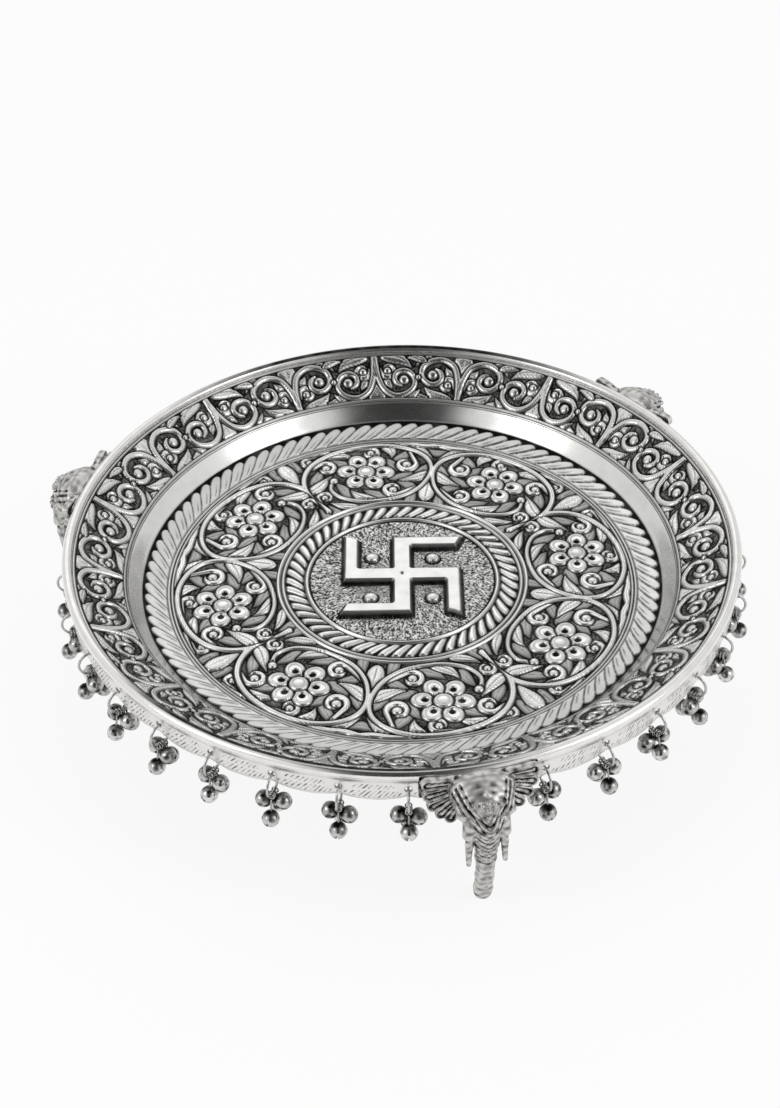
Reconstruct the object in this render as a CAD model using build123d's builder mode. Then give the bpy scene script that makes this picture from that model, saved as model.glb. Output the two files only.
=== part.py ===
from build123d import *
import math
import os

os.makedirs("parts", exist_ok=True)

# Dish, a spun sheet: widths run inwards from the lip, rises run up from the dish floor
LIP_RADIUS = 132.0
DISH_FLOOR_HEIGHT = 39.7
SHEET = 1.0
BEAD_RADIUS = 2.0
RIM_WIDTH = 19.6
WALL_WIDTH = 6.0
BORDER_WIDTH = 10.0
BORDER_RISE = 2.6
RIM_RISE = 10.1
LIP_RISE = 22.1
WIRE_CLEARANCE = 0.05

# Raised ring lines of the floor
RING_LINE_RADIUS = 0.9
RING_LINE_HEIGHT = 0.8
MEDALLION_RADIUS = 49.3
MEDALLION_BAND = 11.3
ROPE_WIDTH = 7.6
ROPE_HEIGHT = 0.9

# Raised emblem and bosses in the medallion
EMBLEM_HALF = 24.0
EMBLEM_ARM = 8.0
EMBLEM_FOOT = 7.0
EMBLEM_SHIFT = 1.0
EMBLEM_HEIGHT = 2.4
EMBLEM_BEVEL = 34.0
BOSS_RADIUS = 2.7
BOSS_HEIGHT = 1.8
BOSS_OFFSET = 12.2

# Flowers in scrolls round the medallion, with a leaf between each two
FLOWERS = 8
FLOWER_AZIMUTH = 11.8
FLOWER_CENTRE = 72.0
PETALS = 6
PETAL_REACH = 7.3
PETAL_RADIUS = 3.9
PETAL_HEIGHT = 0.95
FLOWER_EYE_RADIUS = 3.1
FLOWER_EYE_HEIGHT = 1.25
SCROLL_RADIUS = 20.6
SCROLL_LINE = 1.1
SCROLL_HEIGHT = 0.8
SCROLL_SWEEP = 104.0
LEAF_LENGTH = 16.0
LEAF_WIDTH = 4.6
LEAF_HEIGHT = 0.7

# Leaf border, and the volutes and leaves of the rim's vine
BORDER_RELIEF = 0.5
RIM_REPEATS = 20
RIM_AZIMUTH = 5.0
VOLUTE_RADIUS = 3.4
VOLUTE_HEIGHT = 0.8

# Scalloped apron under the lip, with one hole for each bell drop
APRON_SHEET = 1.0
APRON_SETBACK = 1.4
APRON_PIVOT_RISE = 13.1
STRIP_HALF = 0.9
DROP_HOLE_RADIUS = 1.4
LOBE_DROP = 2.0
SLOTS_PER_STRIP = 11
STRIP_END_GAP = 0.1
SEAM_CLEARANCE = 0.03

# Bell drops: a jump ring that carries four round bells
RING_RADIUS = 4.8
RING_WIRE_RADIUS = 0.5
RING_SLACK = 0.3
EYE_RADIUS = 1.15
EYE_WIRE_RADIUS = 0.3
EYE_PITCH = 1.1
BELL_RADIUS = 3.2
BELL_WALL = 0.5
BELL_GAP = 0.5
BELL_SLIT = 0.7
PELLET_RADIUS = 0.9
LOWER_BELL_STAGGER = 1.2

# Elephant-head feet
FOOT_FRONT_AZIMUTH = 281.2
FOOT_RIGHT_AZIMUTH = 402.0
FOOT_LEFT_AZIMUTH = 523.5
CROWN_DROP = 1.2
PAD_WIDTH = 18.0
HEAD_HEIGHT = 15.0
HEAD_WIDTH = 19.8
HEAD_DEPTH = 16.2
HEAD_REACH = 8.2
TRUNK_ROOT_WIDTH = 10.3
TRUNK_TIP_WIDTH = 6.6
TRUNK_ROOT_REACH = 14.2
TRUNK_TIP_REACH = 1.6
TRUNK_RINGED_SHARE = 0.86
TRUNK_RINGS = 16
TRUNK_RING_BULGE = 0.4
EAR_PETALS = 5
EAR_PETAL_WIDTH = 4.6
EAR_PETAL_LENGTH = 9.6
EAR_LOW_SHARE = 0.62
EAR_THICKNESS = 2.2
EAR_REACH = 2.5
EAR_TOP_ANGLE = 7.0
EAR_LOW_ANGLE = -57.0
TUSK_WIDTH = 3.2
TUSK_LENGTH = 22.0
EYE_BALL_RADIUS = 1.2

# Foot screws, two to a foot, from inside the apron
SCREW_RADIUS = 1.25
SCREW_HEAD_RADIUS = 2.2
SCREW_HEAD_HEIGHT = 1.4
SCREW_GRIP = 5.5
SCREW_OFFSET = 6.0
SCREW_CLEARANCE = 0.03

# Radii and heights that follow from the sizes above
bead_centre = LIP_RADIUS - BEAD_RADIUS
bead_inner = BEAD_RADIUS - SHEET
bead_height = DISH_FLOOR_HEIGHT + LIP_RISE
rim_outer = LIP_RADIUS - 2 * BEAD_RADIUS
rim_inner = rim_outer - RIM_WIDTH
border_outer = rim_inner - WALL_WIDTH
floor_radius = border_outer - BORDER_WIDTH
apron_outer = LIP_RADIUS - APRON_SETBACK
apron_inner = apron_outer - APRON_SHEET
pivot_radius = apron_outer - APRON_SHEET / 2
pivot_height = DISH_FLOOR_HEIGHT + APRON_PIVOT_RISE
apron_top = bead_height - BEAD_RADIUS + 0.3 * BEAD_RADIUS
notch_height = pivot_height - STRIP_HALF
lobe_height = notch_height - LOBE_DROP
hole_height = pivot_height + STRIP_HALF + DROP_HOLE_RADIUS
feet = (
    ("front", FOOT_FRONT_AZIMUTH),
    ("right", FOOT_RIGHT_AZIMUTH),
    ("left", FOOT_LEFT_AZIMUTH),
)
spans = (
    ("right", FOOT_FRONT_AZIMUTH, FOOT_RIGHT_AZIMUTH - FOOT_FRONT_AZIMUTH),
    ("back", FOOT_RIGHT_AZIMUTH, FOOT_LEFT_AZIMUTH - FOOT_RIGHT_AZIMUTH),
    ("left", FOOT_LEFT_AZIMUTH, FOOT_FRONT_AZIMUTH + 360.0 - FOOT_LEFT_AZIMUTH),
)
screw_height = (lobe_height + bead_height - BEAD_RADIUS) / 2
crown_height = bead_height + BEAD_RADIUS - CROWN_DROP

# The sheet's section from the centre to the bead's inner wall, upper face first
rim_slope = (LIP_RISE - 0.25 * BEAD_RADIUS - RIM_RISE) / RIM_WIDTH
sheet_end_radius = rim_outer + (BEAD_RADIUS - bead_inner) / 2
sheet_end_rise = RIM_RISE + rim_slope * (sheet_end_radius - rim_inner)
slit_start = math.radians(232)
slit_end = math.radians(250)
slit_reach = 2 * BEAD_RADIUS



def floor_height_at(share):
    # Height of the unrelieved border at a share of its width
    return DISH_FLOOR_HEIGHT + BORDER_RISE * share


def dome_ball(radius, height):
    # Radius of the ball that shows as a dome of the given radius and height
    return (radius**2 + height**2) / (2 * height)


# Domes, scroll arcs and leaves of the chased ornament, cut off inside the sheet
rim_angle = math.atan(rim_slope)
unit_angle = 360.0 / RIM_REPEATS
rim_middle = (rim_inner + rim_outer) / 2
with BuildPart() as ornament:
    boss_ball = dome_ball(BOSS_RADIUS, BOSS_HEIGHT)
    with Locations((0, EMBLEM_SHIFT, DISH_FLOOR_HEIGHT + BOSS_HEIGHT - boss_ball)):
        with PolarLocations(BOSS_OFFSET * math.sqrt(2), 4, start_angle=45):
            Sphere(boss_ball)
    petal_ball = dome_ball(PETAL_RADIUS, PETAL_HEIGHT)
    flower_eye_ball = dome_ball(FLOWER_EYE_RADIUS, FLOWER_EYE_HEIGHT)
    with PolarLocations(FLOWER_CENTRE, FLOWERS, start_angle=FLOWER_AZIMUTH):
        with Locations((0, 0, DISH_FLOOR_HEIGHT + PETAL_HEIGHT - petal_ball)):
            with PolarLocations(PETAL_REACH, PETALS):
                Sphere(petal_ball)
        with Locations((0, 0, DISH_FLOOR_HEIGHT + FLOWER_EYE_HEIGHT - flower_eye_ball)):
            Sphere(flower_eye_ball)
    # The two side arcs of the scroll round each flower
    for side in (90.0, 270.0):
        with PolarLocations(FLOWER_CENTRE, FLOWERS, start_angle=FLOWER_AZIMUTH):
            with Locations(
                Location(
                    (0, 0, DISH_FLOOR_HEIGHT + SCROLL_HEIGHT - SCROLL_LINE),
                    (0, 0, side - SCROLL_SWEEP / 2),
                )
            ):
                Torus(SCROLL_RADIUS, SCROLL_LINE, major_angle=SCROLL_SWEEP)
    # Pointed leaves between the flowers
    with BuildSketch(Plane.XY.offset(DISH_FLOOR_HEIGHT - SHEET)):
        with PolarLocations(FLOWER_CENTRE, FLOWERS, start_angle=FLOWER_AZIMUTH + 180.0 / FLOWERS):
            Ellipse(LEAF_LENGTH / 2, LEAF_WIDTH / 2)
    extrude(amount=SHEET + LEAF_HEIGHT)
    # Two volutes in each repeat of the rim's vine, square to the slope
    volute_ball = dome_ball(VOLUTE_RADIUS, VOLUTE_HEIGHT)
    volute_sink = VOLUTE_HEIGHT - volute_ball
    volute_radius = rim_middle - volute_sink * math.sin(rim_angle)
    volute_height = DISH_FLOOR_HEIGHT + (RIM_RISE + LIP_RISE - 0.25 * BEAD_RADIUS) / 2
    with Locations((0, 0, volute_height + volute_sink * math.cos(rim_angle))):
        with PolarLocations(volute_radius, 2 * RIM_REPEATS, start_angle=RIM_AZIMUTH + unit_angle / 4):
            Sphere(volute_ball)
    with BuildSketch(Plane.XZ):
        with BuildLine():
            Polyline(
                (0, -LIP_RADIUS),
                (0, DISH_FLOOR_HEIGHT - SHEET / 2),
                (floor_radius, DISH_FLOOR_HEIGHT - SHEET / 2),
                (border_outer, DISH_FLOOR_HEIGHT + BORDER_RISE - SHEET / 2),
                (rim_inner, DISH_FLOOR_HEIGHT + RIM_RISE - SHEET / 2),
                (2 * LIP_RADIUS, DISH_FLOOR_HEIGHT + RIM_RISE - SHEET / 2 + rim_slope * (2 * LIP_RADIUS - rim_inner)),
                (2 * LIP_RADIUS, -LIP_RADIUS),
                close=True,
            )
        make_face()
    revolve(axis=Axis.Z, mode=Mode.SUBTRACT)

with BuildPart() as thali_dish:
    with BuildSketch(Plane.XZ) as dish_section:
        with BuildLine() as dish_line:
            upper_face = FilletPolyline(
                (0, DISH_FLOOR_HEIGHT),
                (floor_radius, DISH_FLOOR_HEIGHT),
                (border_outer, DISH_FLOOR_HEIGHT + BORDER_RISE),
                (rim_inner, DISH_FLOOR_HEIGHT + RIM_RISE),
                (sheet_end_radius, DISH_FLOOR_HEIGHT + sheet_end_rise),
                radius=(8.0, 4.0, 3.0),
            )
            offset(upper_face, amount=SHEET, side=Side.RIGHT)
        make_face()
    revolve(axis=Axis.Z)
    # The rolled bead, open by a narrow slit below the rim where the sheet's edge ends
    with BuildSketch(Plane.XZ) as bead_section:
        with Locations((bead_centre, bead_height)):
            Circle(BEAD_RADIUS)
            Circle(bead_inner, mode=Mode.SUBTRACT)
        with BuildLine() as slit_line:
            Polyline(
                (bead_centre, bead_height),
                (bead_centre + slit_reach * math.cos(slit_start), bead_height + slit_reach * math.sin(slit_start)),
                (bead_centre + slit_reach * math.cos(slit_end), bead_height + slit_reach * math.sin(slit_end)),
                close=True,
            )
        make_face(mode=Mode.SUBTRACT)
    revolve(axis=Axis.Z)
    # Ring lines round the medallion and at the edge of the flat floor
    with Locations((0, 0, DISH_FLOOR_HEIGHT + RING_LINE_HEIGHT - RING_LINE_RADIUS)):
        Torus(MEDALLION_RADIUS, RING_LINE_RADIUS)
        Torus(MEDALLION_RADIUS - MEDALLION_BAND, RING_LINE_RADIUS)
        Torus(floor_radius - 2 * RING_LINE_RADIUS, RING_LINE_RADIUS)
    # The rope round the medallion, and the raised ground of the leaf border
    rope_middle = MEDALLION_RADIUS - MEDALLION_BAND / 2 - RING_LINE_RADIUS
    with BuildSketch(Plane.XZ):
        with BuildLine():
            ThreePointArc(
                (rope_middle - ROPE_WIDTH / 2, DISH_FLOOR_HEIGHT),
                (rope_middle, DISH_FLOOR_HEIGHT + ROPE_HEIGHT),
                (rope_middle + ROPE_WIDTH / 2, DISH_FLOOR_HEIGHT),
            )
            Polyline(
                (rope_middle + ROPE_WIDTH / 2, DISH_FLOOR_HEIGHT),
                (rope_middle + ROPE_WIDTH / 2, DISH_FLOOR_HEIGHT - SHEET / 2),
                (rope_middle - ROPE_WIDTH / 2, DISH_FLOOR_HEIGHT - SHEET / 2),
                (rope_middle - ROPE_WIDTH / 2, DISH_FLOOR_HEIGHT),
            )
        make_face()
        with BuildLine():
            Polyline(
                (floor_radius + 0.12 * BORDER_WIDTH, floor_height_at(0.12) - SHEET / 2),
                (floor_radius + 0.16 * BORDER_WIDTH, floor_height_at(0.16) + BORDER_RELIEF),
                (floor_radius + 0.92 * BORDER_WIDTH, floor_height_at(0.92) + BORDER_RELIEF),
                (floor_radius + 0.96 * BORDER_WIDTH, floor_height_at(0.96) - SHEET / 2),
                close=True,
            )
        make_face()
    revolve(axis=Axis.Z)
    # The emblem with its arms bevelled on all sides
    with BuildSketch(Plane.XY.offset(DISH_FLOOR_HEIGHT)):
        with Locations((0, EMBLEM_SHIFT)):
            Rectangle(EMBLEM_ARM, 2 * EMBLEM_HALF)
            Rectangle(2 * EMBLEM_HALF, EMBLEM_ARM)
            with PolarLocations(0, 4):
                with Locations(((EMBLEM_HALF - EMBLEM_ARM / 2) / 2, EMBLEM_HALF - EMBLEM_FOOT / 2)):
                    Rectangle(EMBLEM_HALF + EMBLEM_ARM / 2, EMBLEM_FOOT)
    extrude(amount=EMBLEM_HEIGHT, taper=EMBLEM_BEVEL)
    add(ornament.part)
thali_dish.part.label = "thali_dish"
export_step(thali_dish.part, "parts/thali_dish.step")

# Wire that stiffens the lip, lying in the rolled bead
with BuildPart() as rim_wire:
    with Locations((0, 0, bead_height)):
        Torus(bead_centre, bead_inner - WIRE_CLEARANCE)
rim_wire.part.label = "rim_wire"
export_step(rim_wire.part, "parts/rim_wire.step")

# Apron strips from foot to foot, each with a hole for every drop
end_gap_angle = math.degrees(STRIP_END_GAP / pivot_radius) / 2
for name, start, span in spans:
    pitch = span / SLOTS_PER_STRIP
    lobe_half = math.pi * pivot_radius * pitch / 360
    # Cutter for the lower edge between two lobes, at azimuth zero
    with BuildPart() as notch_cutter:
        with BuildSketch(Plane.YZ.offset(apron_inner - 2 * APRON_SHEET)):
            with BuildLine():
                ThreePointArc(
                    (-lobe_half, lobe_height),
                    (-lobe_half / 2, lobe_height + LOBE_DROP / 4),
                    (0, notch_height),
                )
                ThreePointArc(
                    (0, notch_height),
                    (lobe_half / 2, lobe_height + LOBE_DROP / 4),
                    (lobe_half, lobe_height),
                )
                Polyline(
                    (lobe_half, lobe_height),
                    (lobe_half, lobe_height - LOBE_DROP),
                    (-lobe_half, lobe_height - LOBE_DROP),
                    (-lobe_half, lobe_height),
                )
            make_face()
        extrude(amount=6 * APRON_SHEET)
    with BuildPart() as apron_strip:
        with BuildSketch(Plane.XZ.rotated((0, 0, end_gap_angle))):
            with BuildLine():
                Polyline(
                    (apron_inner, lobe_height),
                    (apron_outer, lobe_height),
                    (apron_outer, apron_top),
                    (apron_inner, apron_top),
                    close=True,
                )
            make_face()
        revolve(axis=Axis.Z, revolution_arc=span - 2 * end_gap_angle)
        # The top edge is hollowed to seat on the bead
        with Locations((0, 0, bead_height)):
            Torus(bead_centre, BEAD_RADIUS + SEAM_CLEARANCE, mode=Mode.SUBTRACT)
        # Scalloped lower edge, and a hole above each notch for a jump ring
        with PolarLocations(0, SLOTS_PER_STRIP + 1, 0, span, endpoint=True):
            add(notch_cutter.part, mode=Mode.SUBTRACT)
        for slot in range(1, SLOTS_PER_STRIP):
            with BuildSketch(Plane.YZ.rotated((0, 0, slot * pitch))):
                with Locations((0, hole_height)):
                    Circle(DROP_HOLE_RADIUS)
            extrude(amount=LIP_RADIUS, mode=Mode.SUBTRACT)
        # Holes for the foot screws near both ends
        for end, side in ((0, 1), (span, -1)):
            with BuildSketch(Plane.YZ.rotated((0, 0, end))):
                with Locations((side * SCREW_OFFSET, screw_height)):
                    Circle(SCREW_RADIUS + 4 * SCREW_CLEARANCE)
            extrude(amount=LIP_RADIUS, mode=Mode.SUBTRACT)
    with BuildPart() as apron:
        add(apron_strip.part, rotation=(0, 0, start))
    apron.part.label = "apron_" + name
    export_step(apron.part, "parts/apron_" + name + ".step")


# Elephant-head foot, at azimuth zero with its face towards +X
root_height = crown_height - HEAD_HEIGHT
trunk_fall = (TRUNK_ROOT_WIDTH - TRUNK_TIP_WIDTH) / 2
reach_fall = TRUNK_ROOT_REACH - TRUNK_TIP_REACH
cheek_height = root_height + 0.28 * HEAD_HEIGHT
temple_height = root_height + 0.6 * HEAD_HEIGHT
brow_height = root_height + 0.86 * HEAD_HEIGHT
cheek_width = 0.84 * HEAD_WIDTH
cheek_depth = 0.8 * HEAD_DEPTH
cheek_reach = HEAD_REACH + 0.3 * (TRUNK_ROOT_REACH - HEAD_REACH)


trunk_length = math.hypot(reach_fall, root_height)
trunk_tilt = math.atan2(reach_fall, root_height)
trunk_tip = Vector(apron_outer + TRUNK_TIP_REACH, 0, 0)
trunk_plane = Plane(
    origin=trunk_tip,
    x_dir=(math.cos(trunk_tilt), 0, -math.sin(trunk_tilt)),
    z_dir=(0, -1, 0),
)
ringed_length = TRUNK_RINGED_SHARE * trunk_length
ring_step = ringed_length / TRUNK_RINGS


def trunk_radius(rise):
    # Radius of the trunk at a distance along its axis from the tip
    return TRUNK_TIP_WIDTH / 2 + trunk_fall * (rise / trunk_length) ** 2


with BuildPart() as elephant_foot:
    # Trunk: a turned profile with rings, its round root in the face and its tip on the table
    with BuildSketch(trunk_plane):
        with BuildLine():
            Polyline(
                (0, trunk_length + TRUNK_ROOT_WIDTH / 2),
                (0, -ring_step),
                (trunk_radius(0), -ring_step),
                (trunk_radius(0), 0),
            )
            for ring in range(TRUNK_RINGS):
                ThreePointArc(
                    (trunk_radius(ring * ring_step), ring * ring_step),
                    (trunk_radius((ring + 0.5) * ring_step) + TRUNK_RING_BULGE, (ring + 0.5) * ring_step),
                    (trunk_radius((ring + 1) * ring_step), (ring + 1) * ring_step),
                )
            Line((trunk_radius(ringed_length), ringed_length), (TRUNK_ROOT_WIDTH / 2, trunk_length))
            RadiusArc(
                (TRUNK_ROOT_WIDTH / 2, trunk_length),
                (0, trunk_length + TRUNK_ROOT_WIDTH / 2),
                -TRUNK_ROOT_WIDTH / 2,
            )
        make_face()
    revolve(axis=Axis(trunk_tip, (math.sin(trunk_tilt), 0, math.cos(trunk_tilt))))
    # Skull, lofted from the jaw up to the crown
    with BuildSketch(Plane.XY.offset(root_height - 0.1 * HEAD_HEIGHT)):
        with Locations((apron_outer + cheek_reach, 0)):
            Ellipse(0.4 * cheek_depth / 2, 0.42 * cheek_width / 2)
    with BuildSketch(Plane.XY.offset(cheek_height)):
        with Locations((apron_outer + cheek_reach, 0)):
            Ellipse(cheek_depth / 2, cheek_width / 2)
    with BuildSketch(Plane.XY.offset(temple_height)):
        with Locations((apron_outer + HEAD_REACH, 0)):
            Ellipse(HEAD_DEPTH / 2, HEAD_WIDTH / 2)
    with BuildSketch(Plane.XY.offset(brow_height)):
        with Locations((apron_outer + 0.82 * HEAD_REACH, 0)):
            Ellipse(0.8 * HEAD_DEPTH / 2, 0.9 * HEAD_WIDTH / 2)
    with BuildSketch(Plane.XY.offset(crown_height)):
        with Locations((apron_outer + 0.6 * HEAD_REACH, 0)):
            Ellipse(0.36 * HEAD_DEPTH / 2, 0.55 * HEAD_WIDTH / 2)
    loft()
    # Twin domes of the forehead and a round jewel between the eyes
    with Locations(
        (apron_outer + HEAD_REACH + 0.2 * HEAD_DEPTH, 0.2 * HEAD_WIDTH, temple_height),
        (apron_outer + HEAD_REACH + 0.2 * HEAD_DEPTH, -0.2 * HEAD_WIDTH, temple_height),
    ):
        Sphere(0.21 * HEAD_WIDTH)
    with Locations((apron_outer + HEAD_REACH + 0.46 * HEAD_DEPTH, 0, temple_height + 0.1 * HEAD_HEIGHT)):
        Sphere(0.07 * HEAD_WIDTH)
    # Eyes on the sides of the face
    eye_side = 0.36 * HEAD_WIDTH
    eye_front = HEAD_REACH + HEAD_DEPTH / 2 * math.sqrt(1 - (2 * eye_side / HEAD_WIDTH) ** 2)
    with Locations(
        (apron_outer + eye_front, eye_side, (cheek_height + temple_height) / 2),
        (apron_outer + eye_front, -eye_side, (cheek_height + temple_height) / 2),
    ):
        Sphere(EYE_BALL_RADIUS)
    # Tusks, tapering down beside the trunk
    for side in (1, -1):
        with Locations(
            Location(
                (
                    apron_outer + cheek_reach + 0.15 * HEAD_DEPTH,
                    side * 0.31 * HEAD_WIDTH,
                    cheek_height - TUSK_LENGTH / 2,
                ),
                (side * 1.5, 0, 0),
            )
        ):
            Cone(0.3 * TUSK_WIDTH, TUSK_WIDTH / 2, TUSK_LENGTH)
        # Ears: petals fanned from the temple, each with a raised edge
        for petal in range(EAR_PETALS):
            share = petal / (EAR_PETALS - 1)
            angle = EAR_TOP_ANGLE + (EAR_LOW_ANGLE - EAR_TOP_ANGLE) * share
            length = EAR_PETAL_LENGTH * (1 - (1 - EAR_LOW_SHARE) * share)
            root_side = 0.45 * HEAD_WIDTH
            root_rise = crown_height - 0.5 * EAR_PETAL_WIDTH - share * 0.6 * HEAD_HEIGHT
            middle_side = root_side + length / 2 * math.cos(math.radians(angle))
            middle_rise = root_rise + length / 2 * math.sin(math.radians(angle))
            with BuildSketch(Plane.YZ.offset(apron_outer + EAR_REACH)):
                with Locations((side * middle_side, middle_rise)):
                    SlotCenterToCenter(length, EAR_PETAL_WIDTH, rotation=side * angle)
            extrude(amount=EAR_THICKNESS)
            with BuildSketch(Plane.YZ.offset(apron_outer + EAR_REACH + EAR_THICKNESS)):
                with Locations((side * middle_side, middle_rise)):
                    SlotCenterToCenter(length, 0.8 * EAR_PETAL_WIDTH, rotation=side * angle)
                    SlotCenterToCenter(
                        length,
                        0.42 * EAR_PETAL_WIDTH,
                        rotation=side * angle,
                        mode=Mode.SUBTRACT,
                    )
            extrude(amount=0.3 * EAR_THICKNESS)
    # Pad behind the head that the screws hold
    with Locations((apron_outer + HEAD_REACH / 2, 0, screw_height)):
        Box(HEAD_REACH + 2 * APRON_SHEET, PAD_WIDTH, bead_height - BEAD_RADIUS - lobe_height)
    # The back follows the apron and the bead
    Cylinder(
        apron_outer + SEAM_CLEARANCE,
        2 * crown_height,
        align=(Align.CENTER, Align.CENTER, Align.MIN),
        mode=Mode.SUBTRACT,
    )
    with Locations((0, 0, bead_height)):
        Torus(bead_centre, BEAD_RADIUS + SEAM_CLEARANCE, mode=Mode.SUBTRACT)
    # The trunk's tip is cut flat on the table
    with Locations(trunk_tip):
        Box(
            4 * TRUNK_ROOT_WIDTH,
            4 * TRUNK_ROOT_WIDTH,
            4 * ring_step,
            align=(Align.CENTER, Align.CENTER, Align.MAX),
            mode=Mode.SUBTRACT,
        )
    # Screw holes
    for side in (1, -1):
        with BuildSketch(Plane.YZ.offset(apron_inner)):
            with Locations((side * SCREW_OFFSET, screw_height)):
                Circle(SCREW_RADIUS + SCREW_CLEARANCE)
        extrude(amount=APRON_SHEET + SCREW_GRIP + 0.5, mode=Mode.SUBTRACT)

# Foot screw with a slotted head, its head inside the apron
screw_seat = math.sqrt(apron_inner**2 - (SCREW_OFFSET + SCREW_HEAD_RADIUS) ** 2) - SEAM_CLEARANCE
with BuildPart() as screw:
    with BuildSketch(Plane.YZ.offset(screw_seat)):
        Circle(SCREW_HEAD_RADIUS)
    extrude(amount=-SCREW_HEAD_HEIGHT)
    with BuildSketch(Plane.YZ.offset(screw_seat)):
        Circle(SCREW_RADIUS)
    extrude(amount=apron_outer + SCREW_GRIP - screw_seat)
    with Locations((screw_seat - SCREW_HEAD_HEIGHT, 0, 0)):
        Box(SCREW_HEAD_HEIGHT, 3 * SCREW_HEAD_RADIUS, 0.5 * SCREW_RADIUS, mode=Mode.SUBTRACT)

for name, azimuth in feet:
    with BuildPart() as foot:
        add(elephant_foot.part, rotation=(0, 0, azimuth))
    foot.part.label = "elephant_foot_" + name
    export_step(foot.part, "parts/elephant_foot_" + name + ".step")
    for letter, side in (("a", -1), ("b", 1)):
        with BuildPart() as placed_screw:
            with Locations(Location((0, 0, screw_height), (0, 0, azimuth))):
                with Locations((0, side * SCREW_OFFSET, 0)):
                    add(screw.part)
        placed_screw.part.label = "foot_screw_" + name + "_" + letter
        export_step(placed_screw.part, "parts/foot_screw_" + name + "_" + letter + ".step")

# Bells: the eye at the origin, with the bell straight below it
eye_outer = EYE_RADIUS + EYE_WIRE_RADIUS
upper_hang = eye_outer + BELL_RADIUS - EYE_WIRE_RADIUS / 3
bell_side = BELL_RADIUS + BELL_GAP / 2
upper_tilt = math.degrees(math.asin(bell_side / upper_hang))
upper_depth = upper_hang * math.cos(math.radians(upper_tilt))
inner_eye = EYE_PITCH / 2
outer_eye = 3 * EYE_PITCH / 2
lower_step = math.sqrt((2 * BELL_RADIUS + BELL_GAP) ** 2 - (bell_side - inner_eye) ** 2 - bell_side**2)


def bell_solid(hang):
    # One bell on its shank, hung at the given distance below its eye
    with BuildPart() as bell:
        Torus(EYE_RADIUS, EYE_WIRE_RADIUS, rotation=(0, 90, 0))
        with Locations((0, 0, -(EYE_RADIUS + hang) / 2)):
            Cylinder(1.3 * EYE_WIRE_RADIUS, hang - EYE_RADIUS)
        with Locations((0, 0, -hang)):
            Sphere(BELL_RADIUS)
            Sphere(BELL_RADIUS - BELL_WALL, mode=Mode.SUBTRACT)
        # The sound slit across the bottom
        with Locations((0, 0, -hang - 0.7 * BELL_RADIUS)):
            Box(3 * BELL_RADIUS, BELL_SLIT, 0.9 * BELL_RADIUS, mode=Mode.SUBTRACT)
        with Locations((0, 0, -hang - BELL_RADIUS + BELL_WALL + PELLET_RADIUS + WIRE_CLEARANCE)):
            Sphere(PELLET_RADIUS)
    return bell.part


def drop_cluster(turned, front_extra, back_extra):
    # A jump ring in the radial plane with its four bells, its pivot at the origin
    ring_middle = -(RING_RADIUS - STRIP_HALF - RING_WIRE_RADIUS - RING_SLACK)
    eye_slack = EYE_RADIUS - EYE_WIRE_RADIUS - RING_WIRE_RADIUS - WIRE_CLEARANCE
    hang_radius = RING_RADIUS + eye_slack
    short_bell = bell_solid(upper_hang)
    with BuildPart() as cluster:
        with Locations((0, 0, ring_middle)):
            Torus(RING_RADIUS, RING_WIRE_RADIUS, rotation=(90, 0, 0))
        for side in (1, -1):
            spread = math.asin(side * inner_eye / RING_RADIUS)
            eye_x = hang_radius * math.sin(spread)
            eye_z = ring_middle - hang_radius * math.cos(spread)
            with Locations(Location((eye_x, 0, eye_z), (side * turned * upper_tilt, 0, 0))):
                add(short_bell)
        for side, extra in ((1, front_extra), (-1, back_extra)):
            spread = math.asin(side * outer_eye / RING_RADIUS)
            eye_x = hang_radius * math.sin(spread)
            eye_z = ring_middle - hang_radius * math.cos(spread)
            fall = upper_depth + lower_step + extra
            tilt = math.degrees(math.atan((side * bell_side - eye_x) / fall))
            long_bell = bell_solid(fall / math.cos(math.radians(tilt)))
            with Locations(Location((eye_x, 0, eye_z), (0, -tilt, 0))):
                add(long_bell)
    return cluster.part


clusters = (
    drop_cluster(1, 0, LOWER_BELL_STAGGER),
    drop_cluster(-1, LOWER_BELL_STAGGER, 0),
    drop_cluster(1, LOWER_BELL_STAGGER / 2, 0),
)

number = 0
for name, start, span in spans:
    for slot in range(1, SLOTS_PER_STRIP):
        number += 1
        with BuildPart() as drop:
            with Locations(Location((0, 0, pivot_height), (0, 0, start + slot * span / SLOTS_PER_STRIP))):
                with Locations((pivot_radius, 0, 0)):
                    add(clusters[number % 3])
        drop.part.label = "bell_drop_" + f"{number:02d}"
        export_step(drop.part, "parts/bell_drop_" + f"{number:02d}" + ".step")
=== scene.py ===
import math

import bpy
import numpy as np
from mathutils import Matrix, Vector


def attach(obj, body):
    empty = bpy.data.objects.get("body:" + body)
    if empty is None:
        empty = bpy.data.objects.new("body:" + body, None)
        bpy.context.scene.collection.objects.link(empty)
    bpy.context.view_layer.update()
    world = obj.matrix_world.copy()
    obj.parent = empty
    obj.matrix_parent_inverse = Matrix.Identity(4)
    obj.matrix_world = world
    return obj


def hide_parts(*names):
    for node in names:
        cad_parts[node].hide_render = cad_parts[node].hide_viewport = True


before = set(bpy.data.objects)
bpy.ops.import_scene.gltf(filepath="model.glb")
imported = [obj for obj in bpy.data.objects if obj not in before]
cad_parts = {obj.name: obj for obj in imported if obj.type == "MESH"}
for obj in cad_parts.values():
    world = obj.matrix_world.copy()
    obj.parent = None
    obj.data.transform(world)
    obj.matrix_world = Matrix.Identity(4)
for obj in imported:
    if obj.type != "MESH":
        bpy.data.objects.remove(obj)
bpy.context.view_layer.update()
rng = np.random.default_rng(11)

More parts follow.
